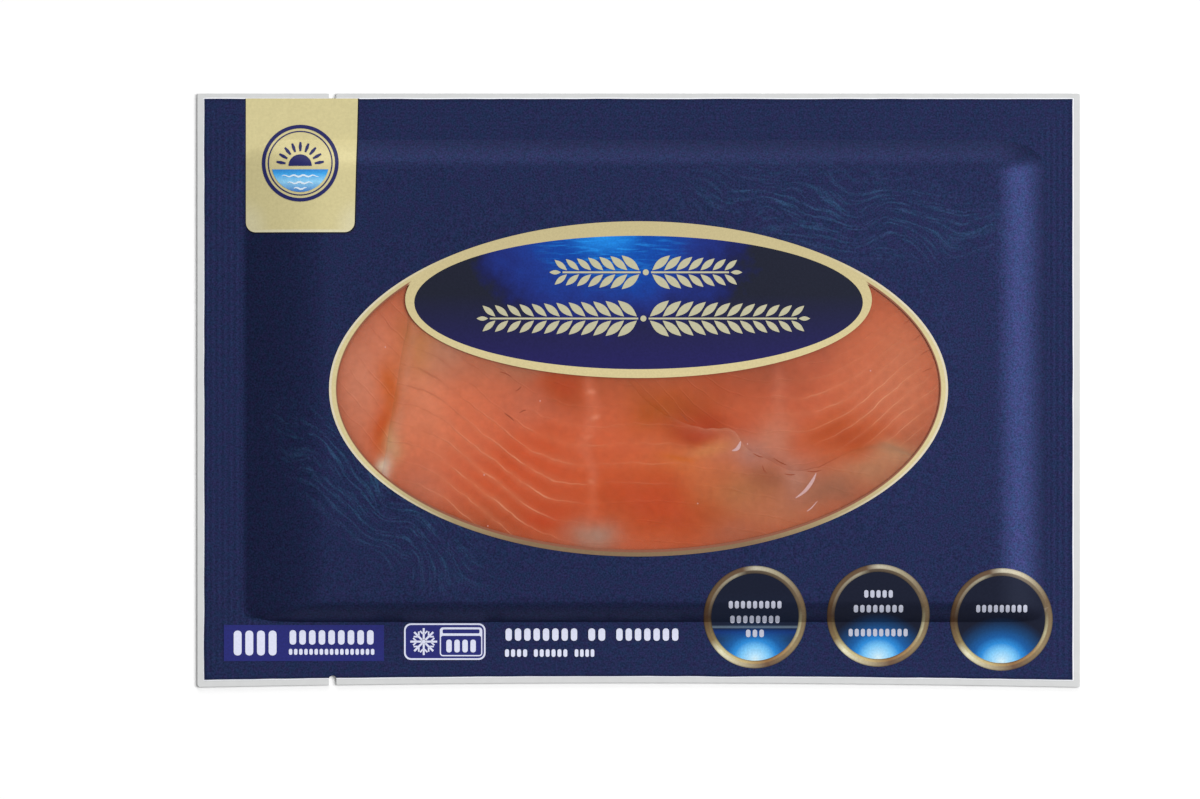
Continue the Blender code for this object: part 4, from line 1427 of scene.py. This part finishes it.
def flesh_colour(x, y, base):
    """Linear colour of the flesh at a place in the window, with painted shadow near the rim and the title."""
    drift_x = x + FLESH_DRIFT * unevenness(x, y, FLESH_DRIFT_LENGTH, 11.0)
    drift_y = y + FLESH_DRIFT * unevenness(x, y, FLESH_DRIFT_LENGTH, 17.0)
    colour = Vector(base)
    for patch, tint in zip(FLESH_PATCHES, PATCH_TINTS):
        colour = colour.lerp(tint, soft_patch(drift_x, drift_y, patch) * patch[5])
    from_rim = 1.0 - math.hypot(x / RIM_INNER[0], (y - WINDOW_CENTRE_Y) / RIM_INNER[1])
    from_title = math.hypot(x / TITLE_OUTER[0], (y - TITLE_OUTER_CENTRE_Y) / TITLE_OUTER[1]) - 1.0
    shade = RIM_SHADOW * math.exp(-max(from_rim, 0.0) * RIM_SHADOW_FALL)
    shade += TITLE_SHADOW * math.exp(-max(from_title, 0.0) * TITLE_SHADOW_FALL)
    # Patches that overlap wash each other out, so what differs from the base is drawn stronger
    return Vector([
        (1.0 - shade) * depth * usual * (channel / usual) ** (darker if channel < usual else lighter)
        for channel, usual, depth, darker, lighter in zip(colour, base, FLESH_DEPTH, *FLESH_CONTRAST)
    ])


def fish_surface(x, y):
    """Top of whichever slice shows."""
    if x > left_lap_x(y) and y < torn_edge_y(x):
        return middle_slice_top(x, y)
    return left_slice_top(x, y) if x < 0.0 else right_slice_top(x, y)


# Phase of the fat lines: a whole number on each line
def middle_line_phase(x, y):
    off_seam = x - MIDDLE_SEAM_X
    rise = curve_height(MIDDLE_LINE_RISE_LEFT if off_seam < 0.0 else MIDDLE_LINE_RISE_RIGHT, abs(off_seam))
    return (y - rise - MIDDLE_LINE_START) / MIDDLE_LINE_PITCH


def right_line_phase(x, y):
    off_seam = x - RIGHT_SEAM_X - RIGHT_SEAM_LEAN * y
    return (y - curve_height(RIGHT_LINE_RISE, abs(off_seam)) - RIGHT_LINE_START) / RIGHT_LINE_PITCH


def left_line_phase(x, y):
    return (y + LEFT_LINE_LEAN * x - LEFT_LINE_START) / LEFT_LINE_PITCH


def middle_edge_tint(x, y, colour):
    """The thin left and torn edges of the middle slice are paler, nearly white at its foot."""
    inside = x - left_lap_x(y)
    pale = 0.3 * bell(inside - 2.0, 1.3)
    white = 0.8 * bell(inside - 0.8, 1.1) * bell(y + 21.0, 4.5)
    torn = 0.35 * math.exp(-(torn_edge_y(x) - y) / 1.1) * bell(x - TORN_STEP_X, TORN_STEP_REACH)
    return colour.lerp(EDGE_PALE, max(pale, torn)).lerp(EDGE_WHITE, white)


def plain_edge_tint(x, y, colour):
    """The lower slices are the same colour to their edges."""
    return colour


def paint_flesh(sheet, base, phase, edge_tint):
    """Stores the flesh colour, the phase of the fat lines and their strength at each point."""
    flesh = sheet.verts.layers.float_color.new("flesh")
    line_phase = sheet.verts.layers.float.new("line_phase")
    fat_light = sheet.verts.layers.float.new("fat_light")
    fat_dark = sheet.verts.layers.float.new("fat_dark")
    for corner in sheet.verts:
        x, y = corner.co.x, corner.co.y
        corner[flesh] = (*edge_tint(x, y, flesh_colour(x, y, base)), 1.0)
        corner[line_phase] = phase(x, y)
        corner[fat_light] = min(sum(soft_patch(x, y, p) * p[4] for p in FAT_LINES_LIGHT), 1.0)
        corner[fat_dark] = min(sum(soft_patch(x, y, p) * p[4] for p in FAT_LINES_DARK), 1.0)


def bowed_sheet(box, radius):
    """A flat rectangle whose lower edge bows up a little."""
    sheet = shape_sheet([rounded_box(box, radius)])
    cut_along(sheet, steps_between(-100.0, 100.0, 10.0), [0.0])
    for corner in sheet.verts:
        corner.co.x, corner.co.y = bowed(corner.co.x, corner.co.y)
    return sheet


# Operators
class PACK_OT_back_film(bpy.types.Operator):
    """Adds the clear film with its pale rim and tear notches, and the print on the pouch's back"""

    bl_idname = "fish_pack.back_film"
    bl_label = "Back Film"

    def execute(self, context):
        film = context.scene.pack_film
        pouch = (-PACK_WIDTH / 2.0, -PACK_HEIGHT / 2.0, PACK_WIDTH / 2.0, PACK_HEIGHT / 2.0)
        solid = solid_between(
            bowed_sheet(pouch, PACK_CORNER_RADIUS), lambda x, y: BACK_FILM_TOP, lambda x, y: 0.0,
        )
        cut_notches(add_piece("clear_back_film", solid, clear_film(film), ["back_film"]))

        border = (-PRINT_HALF_WIDTH, PRINT_BOTTOM, PRINT_HALF_WIDTH, PRINT_TOP)
        solid = solid_between(
            bowed_sheet(shrunk(border, BACK_PRINT_INSET), 0.0),
            lambda x, y: BACK_PRINT_TOP, lambda x, y: BACK_FILM_TOP + FILM_GAP,
        )
        cut_notches(add_piece("navy_back_print", solid, satin_navy_film(film, False)))
        return {"FINISHED"}


class PACK_OT_front_film(bpy.types.Operator):
    """Adds the navy printed film, raised over the fish, with ribbed seals round it"""

    bl_idname = "fish_pack.front_film"
    bl_label = "Front Film"

    def execute(self, context):
        film = context.scene.pack_film
        directions = ray_directions(110, 76)
        border = [wandering(x, y) for x, y in border_loop(0.0, directions)]
        shares = (0.0, 0.02, 0.05, 0.1, 0.16, 0.23, 0.3, 0.38, 0.46, 0.55, 0.64, 0.73, 0.82, 0.9, 0.97)
        shoulder = [
            loop_where(lambda x, y, share=share: plateau_share(x, y) > share, directions)
            for share in shares
        ]
        opening = oval_loop(OPENING, directions)
        loops = [between(border, shoulder[0], k / 6.0) for k in range(6)]
        loops.append(between(border, shoulder[0], 0.9))
        loops += shoulder
        loops += [between(shoulder[-1], opening, k / 9.0) for k in range(1, 10)]
        sheet = ring_sheet(loops)
        depth = sheet.verts.layers.float.new("seal_depth")
        seal = sheet.verts.layers.float.new("seal")
        for corner in sheet.verts:
            x, y = corner.co.x, corner.co.y
            corner[depth] = min(PRINT_HALF_WIDTH - abs(x), PRINT_TOP - y, y - bowed(x, PRINT_BOTTOM)[1])
            corner[seal] = min(max(-plateau_share(x, y) * 12.0, 0.0), 1.0)
        solid = solid_between(sheet, film_top, film_underside)
        navy = satin_navy_film(film, True)
        cut_notches(add_piece("navy_front_film", solid, navy, ["front_film"]))

        directions = ray_directions(90, 60)
        pack_edge = pack_edge_loop(CLEAR_RIM_INSET, directions)
        white_edge, hidden_edge = (
            [wandering(x, y) for x, y in border_loop(outward, directions)]
            for outward in (WHITE_EDGE_WIDTH, -RIM_OVERLAP)
        )
        # Painted highlight: a thin white strip along the print's border, where the film's edge catches the
        # light
        white = ink("white_edge_highlight_ink", linear("#f2f3fa"), 0.5)
        for name, outer, rise, material in (
            ("clear_rim", pack_edge, 0.0, clear_film(film)),
            ("white_edge_highlight", white_edge, WHITE_EDGE_RISE, white),
        ):
            solid = solid_between(
                ring_sheet([outer, between(outer, hidden_edge, 0.5), hidden_edge]),
                lambda x, y: rim_top(x, y) + rise, lambda x, y: BACK_FILM_TOP + FILM_GAP,
            )
            cut_notches(add_piece(name, solid, material))
        return {"FINISHED"}


class PACK_OT_window(bpy.types.Operator):
    """Adds the clear film over the fish"""

    bl_idname = "fish_pack.window"
    bl_label = "Window"

    def execute(self, context):
        directions = ray_directions(56, 40)
        pane = oval_loop([axis - WINDOW_INSET for axis in OPENING], directions)
        middle = [(0.0, WINDOW_CENTRE_Y)] * len(directions)
        loops = [between(pane, middle, k / 24.0) for k in range(25)]
        solid = solid_between(
            ring_sheet(loops), film_top, lambda x, y: film_top(x, y) - WINDOW_THICKNESS,
        )
        material = window_film(context.scene.pack_fish)
        add_piece("clear_window", solid, material, ["window_film"])
        return {"FINISHED"}


class PACK_OT_fish(bpy.types.Operator):
    """Adds the three slices of fish, with their fat lines, tears, bits of fat and painted highlights"""

    bl_idname = "fish_pack.fish"
    bl_label = "Fish Slices"

    def execute(self, context):
        fish = context.scene.pack_fish
        flesh = fish_flesh(fish)
        right_low, right_high = RIGHT_SLICE_ENDS
        middle_low, middle_high = MIDDLE_SLICE_ENDS
        left = lattice_sheet(
            52, 120, lambda y: (FISH_LEFT, left_lap_x(y) + LEFT_SLICE_OVERLAP), lambda x: LEFT_SLICE_ENDS,
        )
        right = lattice_sheet(
            150, 110, lambda y: (RIGHT_SLICE_LEFT, FISH_RIGHT),
            lambda x: (max(curve_height(RIGHT_LAP, x) - RIGHT_SLICE_OVERLAP, right_low), right_high),
        )
        middle = lattice_sheet(
            230, 135, lambda y: (left_lap_x(y), MIDDLE_SLICE_RIGHT),
            lambda x: (middle_low, min(torn_edge_y(x), middle_high)),
        )
        for name, sheet, phase, edge_tint, top, bottom in (
            ("left", left, left_line_phase, plain_edge_tint, left_slice_top, lambda x, y: FISH_FLOOR),
            ("right", right, right_line_phase, plain_edge_tint, right_slice_top, lambda x, y: FISH_FLOOR),
            ("middle", middle, middle_line_phase, middle_edge_tint, middle_slice_top, middle_slice_underside),
        ):
            paint_flesh(sheet, fish.flesh, phase, edge_tint)
            solid = solid_between(sheet, top, bottom)
            add_piece(f"fish_{name}", solid, flesh, [f"salmon_slice_{name}"])

        tears = bmesh.new()
        for width, strokes in ((TEAR_WIDTH, TEARS), (EDGE_TEAR_WIDTH, EDGE_TEARS)):
            for stroke in strokes:
                add_ribbon(tears, smooth_path(stroke, 4), width)
        fat_and_highlights = bmesh.new()
        # Pale streaks of fat, and painted highlights on the edges of folds
        for width, stroke in FAT_AND_HIGHLIGHT_STREAKS:
            add_ribbon(fat_and_highlights, smooth_path(stroke, 4), width)
        # Painted glints: small pale discs where the film over the fish catches the light
        for place in GLINTS:
            add_shape(fat_and_highlights, [disc(GLINT_RADIUS, place, 8)])
        for name, sheet, colour in (
            ("fish_tears", tears, fish.dark), ("fish_fat_and_painted_highlights", fat_and_highlights, linear("#d3b3b2")),
        ):
            solid = solid_between(
                sheet, lambda x, y: fish_surface(x, y) + 0.03, lambda x, y: fish_surface(x, y) - 0.05,
            )
            add_piece(name, solid, ink(name, colour, 0.35))
        return {"FINISHED"}


def wave_path(left, right, middle_y, height, length):
    """A row of even waves."""
    steps = int((right - left) / 0.5)
    return [
        (left + (right - left) * k / steps,
         middle_y + height * math.sin(2.0 * math.pi * (right - left) * k / steps / length))
        for k in range(steps + 1)
    ]


def add_leaf(sheet, base, length, width, turn):
    """A pointed leaf that grows from its base in the direction of the turn."""
    steps = 8
    sides = [
        (length * k / steps, side * width / 2.0 * math.sin(math.pi * k / steps))
        for side, order in ((1.0, range(steps + 1)), (-1.0, range(steps - 1, 0, -1))) for k in order
    ]
    across, along = math.sin(turn), math.cos(turn)
    add_shape(sheet, [[
        (base[0] + x * along - y * across, base[1] + x * across + y * along) for x, y in sides
    ]])


def add_laurel(sheet, centre_x, middle_y, half_length, height, pitch):
    """Two branches that grow out from a bead, with leaves in pairs on a thin stem."""
    add_shape(sheet, [disc(0.75, (centre_x, middle_y), 20)])
    pairs = int((half_length - 2.0) / pitch)
    lean = math.radians(40.0)
    tip_length = 2.9
    for way in (1.0, -1.0):
        stem = [(centre_x + way * (1.3 + (half_length - 4.6) * k / 20.0), middle_y) for k in range(21)]
        add_ribbon(sheet, stem, 0.45, 0.0)
        for k in range(pairs):
            length = 0.72 * height * (1.0 - 0.35 * k / pairs)
            x = centre_x + way * (1.6 + k * pitch)
            for side in (1.0, -1.0):
                turn = side * lean if way > 0.0 else math.pi - side * lean
                add_leaf(sheet, (x, middle_y + side * 0.5), length, 0.34 * length, turn)
        tip = (centre_x + way * (half_length - tip_length), middle_y)
        add_leaf(sheet, tip, tip_length, 1.1, 0.0 if way > 0.0 else math.pi)


def add_beads(sheet, left, right, middle_y, height, pitch):
    """A row of upright beads that fills the length from left to right."""
    count = max(round((right - left) / pitch), 1)
    step = (right - left) / count
    for k in range(count):
        start = left + k * step
        bead = (start + 0.16 * step, middle_y - height / 2.0, start + 0.84 * step, middle_y + height / 2.0)
        add_shape(sheet, [rounded_box(bead, 0.3 * step, steps=3)])


class PACK_OT_window_print(bpy.types.Operator):
    """Adds the gold rim, the dark title panel and its gold laurel branches"""

    bl_idname = "fish_pack.window_print"
    bl_label = "Window Print"

    def execute(self, context):
        prints = context.scene.pack_print
        title = oval(TITLE_INNER, (0.0, TITLE_INNER_CENTRE_Y), 120)
        rim = shape_sheet([
            oval(RIM_OUTER, (0.0, WINDOW_CENTRE_Y), 180), window_below_title(160), title,
        ])
        add_print("gold_rim", rim, rim_gold_with_painted_light(prints), ["window_rim"])
        panel = shape_sheet([title])
        add_print("title_oval", panel, title_ink(prints), ["title_panel"], FIELD_LIFT)
        branches = bmesh.new()
        add_laurel(branches, 1.8, 29.4, 24.0, 8.0, 3.0)
        add_laurel(branches, 1.2, 17.9, 41.5, 8.6, 3.2)
        ornament = ink("gold_ornament_ink", linear("#bdb99a"), 0.45, 0.1)
        add_print("title_branches", branches, ornament, lift=BRANCH_LIFT)
        return {"FINISHED"}


def tapered(outline):
    """Leans the tag's right edge: it runs in a little towards its foot."""
    _, bottom, right, top = TAG
    return [
        (x - (TAG_TAPER * (top - y) / (top - bottom) if x > right - 5.0 else 0.0), y)
        for x, y in outline
    ]


class PACK_OT_corner_tag(bpy.types.Operator):
    """Adds the gold corner tag with a plain round emblem of a sun over water"""

    bl_idname = "fish_pack.corner_tag"
    bl_label = "Corner Tag"

    def execute(self, context):
        prints = context.scene.pack_print
        tag = shape_sheet([tapered(rounded_box(TAG, TAG_CORNER_RADIUS, 0.0))])
        add_print("corner_tag_print", tag, tag_gold(prints), ["corner_tag"])
        # Painted shadow: a thin dark band under the tag that shows outside its foot and right side, and a
        # little along its left side
        around = shrunk(TAG, -0.1, -TAG_SHADOW_WIDTH, -TAG_SHADOW_WIDTH, 0.0)
        outline = shape_sheet([
            tapered(rounded_box(box, TAG_CORNER_RADIUS, 0.0))
            for box in (around, shrunk(TAG, 0.4, 0.4, 0.4, 0.3))
        ])
        dark = ink("tag_painted_shadow_ink", linear("#0d1024"), 0.5)
        add_print("tag_painted_shadow", outline, dark, lift=TAG_SHADOW_LIFT)

        x, y = EMBLEM_CENTRE
        navy = bmesh.new()
        for outer, inner in EMBLEM_RINGS:
            add_shape(navy, [disc(outer, EMBLEM_CENTRE, 64), disc(inner, EMBLEM_CENTRE, 64)])
        sun_centre = (x, y - SUN_DROP)
        add_shape(navy, [arc(SUN_RADIUS, sun_centre, 0.0, math.pi, 20)])
        for k in range(SUN_RAYS):
            turn = math.pi * (k + 0.5) / SUN_RAYS
            ray = Vector((math.cos(turn), math.sin(turn)))
            add_ribbon(navy, [Vector(sun_centre) + ray * reach for reach in (3.7, 4.9, 6.0)], 0.8, 0.8)
        navy_ink = ink("emblem_navy_ink", linear("#24265e"), 0.4)
        add_print("emblem_ring", navy, navy_ink, lift=MARK_LIFT)
        level = math.pi + WATER_LEVEL_TURN, 2.0 * math.pi - WATER_LEVEL_TURN
        water = shape_sheet([arc(WATER_RADIUS, EMBLEM_CENTRE, *level, 28)])
        add_print("emblem_water", water, emblem_water(), lift=MARK_LIFT)
        ripples = bmesh.new()
        for offset, half in ((-3.2, 4.6), (-4.9, 3.2), (-6.3, 1.6)):
            add_ribbon(ripples, wave_path(x - half, x + half, y + offset, 0.22, 2.4), 0.45, 0.8)
        pale = ink("pale_ripple_ink", linear("#dbe9f4"), 0.45)
        add_print("emblem_ripples", ripples, pale, lift=RIPPLE_LIFT)
        return {"FINISHED"}


class PACK_OT_badges(bpy.types.Operator):
    """Adds the three round badges with their rows of pale beads"""

    bl_idname = "fish_pack.badges"
    bl_label = "Badges"

    def execute(self, context):
        prints = context.scene.pack_print
        ring_ink = badge_ring_ink(prints)
        disc_ink = badge_disc_ink()
        beads = bmesh.new()
        for number, ((x, y), rows) in enumerate(zip(BADGE_CENTRES, BADGE_ROWS), start=1):
            outer, inner = (disc(radius, (x, y), 72) for radius in (BADGE_RADIUS, BADGE_DISC_RADIUS))
            for name, outlines, material, lift, horizon in (
                ("ring", (outer, inner), ring_ink, PRINT_LIFT, 0.0),
                ("disc", (inner,), disc_ink, FIELD_LIFT, 1.0 if number == 1 else 0.0),
            ):
                sheet = shape_sheet(outlines)
                cut_along(sheet, [x], [y])
                place = sheet.verts.layers.float_vector.new("badge_place")
                for corner in sheet.verts:
                    off_x, off_y = corner.co.x - x, corner.co.y - y
                    corner[place] = (off_x / BADGE_RADIUS, off_y / BADGE_RADIUS, horizon)
                add_print(
                    f"badge_{number}_{name}", sheet, material,
                    [f"badge_{name}_{number}"], lift,
                )
            for offset, half in rows:
                add_beads(beads, x - half, x + half, y + offset, 1.9, 1.55)
        white = ink("white_badge_ink", linear("#bcbfd0"), 0.5)
        add_print("badge_beads", beads, white, lift=BEAD_LIFT)
        return {"FINISHED"}


class PACK_OT_lower_marks(bpy.types.Operator):
    """Adds the blue strip, the storage mark with its snowflake and the rows of beads beside it"""

    bl_idname = "fish_pack.lower_marks"
    bl_label = "Lower Marks"

    def execute(self, context):
        prints = context.scene.pack_print
        strip = shape_sheet([rounded_box(STRIP, 0.0)])
        strip_ink = ink("violet_strip_ink", prints.strip, 0.45, contrast=0.14)
        add_print("blue_strip_print", strip, strip_ink, ["blue_strip"])
        field_outline = rounded_box(STORAGE_MARK, STORAGE_MARK_RADIUS)
        add_print("storage_field", shape_sheet([field_outline]), strip_ink)

        marks = bmesh.new()
        left, bottom, right, top = STRIP
        add_beads(marks, left + 2.0, left + 13.6, (bottom + top) / 2.0, 6.2, 2.9)
        add_beads(marks, left + 16.0, right - 2.2, bottom + 5.9, 3.6, 2.4)
        add_beads(marks, left + 16.0, right - 2.2, bottom + 2.3, 1.5, 1.3)

        inner = rounded_box(shrunk(STORAGE_MARK, STORAGE_MARK_LINE), 1.4)
        add_shape(marks, [field_outline, inner])
        box = shrunk(STORAGE_MARK, 8.9, 0.9, 0.8, 1.0)
        add_shape(marks, [
            rounded_box(box, 0.8), rounded_box(shrunk(box, 0.3, 0.3, 0.3, 2.1), 0.5),
            rounded_box((box[0] + 0.7, box[3] - 1.5, box[2] - 0.7, box[3] - 0.5), 0.3),
        ])
        add_beads(marks, box[0] + 1.3, box[2] - 1.3, (box[1] + box[3] - 2.1) / 2.0, 3.2, 1.9)
        left, bottom, _, top = STORAGE_MARK
        centre = Vector((left + 4.9, (bottom + top) / 2.0))
        for k in range(8):
            turn = k * math.pi / 4.0
            arm = Vector((math.cos(turn), math.sin(turn)))
            side = Vector((-arm.y, arm.x))
            add_ribbon(marks, [centre + arm * r for r in (0.45, 1.9, 3.35)], 0.5, 0.0)
            for lean in (-1.0, 1.0):
                root = centre + arm * 1.9 + side * lean * 0.2
                add_ribbon(marks, [root, root + arm * 0.75 + side * lean * 0.7], 0.38, 0.0)
        add_shape(marks, [disc(0.62, centre, 16)])
        for middle_y, height, pitch, groups in BEAD_ROWS:
            for start, end in groups:
                add_beads(marks, BEAD_ROWS_LEFT + start, BEAD_ROWS_LEFT + end, middle_y, height, pitch)
        white = ink("white_line_ink", prints.white, 0.5)
        add_print("white_marks", marks, white, lift=MARK_LIFT)
        return {"FINISHED"}


class PACK_OT_stage(bpy.types.Operator):
    """Adds a plain pale floor, soft studio light and the camera that looks straight down"""

    bl_idname = "fish_pack.stage"
    bl_label = "Stage"

    def execute(self, context):
        stage = context.scene.pack_stage
        sheet = bmesh.new()
        bmesh.ops.create_grid(sheet, x_segments=1, y_segments=1, size=FLOOR_HALF_SIZE)
        bmesh.ops.translate(sheet, verts=sheet.verts[:], vec=(0.0, 0.0, -FLOOR_DROP))
        mesh = bpy.data.meshes.new("floor")
        sheet.to_mesh(mesh)
        sheet.free()
        material, _, _ = new_material("matt_paper_floor", {
            "Base Color": rgba(stage.floor), "Roughness": 0.9, "Specular IOR Level": 0.1,
        })
        mesh.materials.append(material)
        floor = bpy.data.objects.new("floor", mesh)
        context.scene.collection.objects.link(floor)

        for name, power, size, place in (
            ("key_light", stage.key, 3.6, (3.474, 0.612, 4.854)),
            ("top_light", stage.top, 3.0, (0.0, 5.2, 3.0)),
        ):
            lamp = bpy.data.lights.new(name, "AREA")
            lamp.energy = power
            lamp.size = size
            light = bpy.data.objects.new(name, lamp)
            light.location = place
            light.rotation_euler = (-Vector(place)).to_track_quat("-Z", "Y").to_euler()
            context.scene.collection.objects.link(light)

        world = bpy.data.worlds.new("soft_room")
        world.use_nodes = True
        room = world.node_tree.nodes["Background"]
        room.inputs["Color"].default_value = (1.0, 1.0, 1.0, 1.0)
        room.inputs["Strength"].default_value = stage.sky
        context.scene.world = world
        context.scene.view_settings.view_transform = "Standard"

        lens = bpy.data.cameras.new("camera")
        lens.lens = stage.lens
        lens.sensor_width = SENSOR_WIDTH
        lens.clip_end = 20.0
        camera = bpy.data.objects.new("camera", lens)
        distance = VIEW_WIDTH * stage.lens / SENSOR_WIDTH
        camera.location = (*VIEW_CENTRE, distance + VIEW_HEIGHT)
        context.scene.collection.objects.link(camera)
        context.scene.camera = camera
        return {"FINISHED"}


class PACK_PT_sidebar(bpy.types.Panel):
    """Lists the steps that build the pack, in their order"""

    bl_idname = "PACK_PT_sidebar"
    bl_label = "Fish Pack"
    bl_space_type = "VIEW_3D"
    bl_region_type = "UI"
    bl_category = "Fish Pack"

    def draw(self, context):
        for operator in OPERATORS:
            self.layout.operator(operator.bl_idname)
        for name in SETTINGS:
            group = getattr(context.scene, name)
            box = self.layout.box()
            for setting in group.bl_rna.properties.keys():
                if setting not in ("rna_type", "name"):
                    box.prop(group, setting)


OPERATORS = (
    PACK_OT_back_film,
    PACK_OT_front_film,
    PACK_OT_window,
    PACK_OT_fish,
    PACK_OT_window_print,
    PACK_OT_corner_tag,
    PACK_OT_badges,
    PACK_OT_lower_marks,
    PACK_OT_stage,
)
SETTINGS = {
    "pack_film": FilmSettings,
    "pack_print": PrintSettings,
    "pack_fish": FishSettings,
    "pack_stage": StageSettings,
}


def register():
    for kind in (*SETTINGS.values(), *OPERATORS, PACK_PT_sidebar):
        bpy.utils.register_class(kind)
    for name, kind in SETTINGS.items():
        setattr(bpy.types.Scene, name, PointerProperty(type=kind))


def unregister():
    for name in SETTINGS:
        delattr(bpy.types.Scene, name)
    for kind in reversed((*SETTINGS.values(), *OPERATORS, PACK_PT_sidebar)):
        bpy.utils.unregister_class(kind)


def main():
    register()
    for operator in OPERATORS:
        group, name = operator.bl_idname.split(".")
        getattr(getattr(bpy.ops, group), name)()


if __name__ == "__main__":
    main()
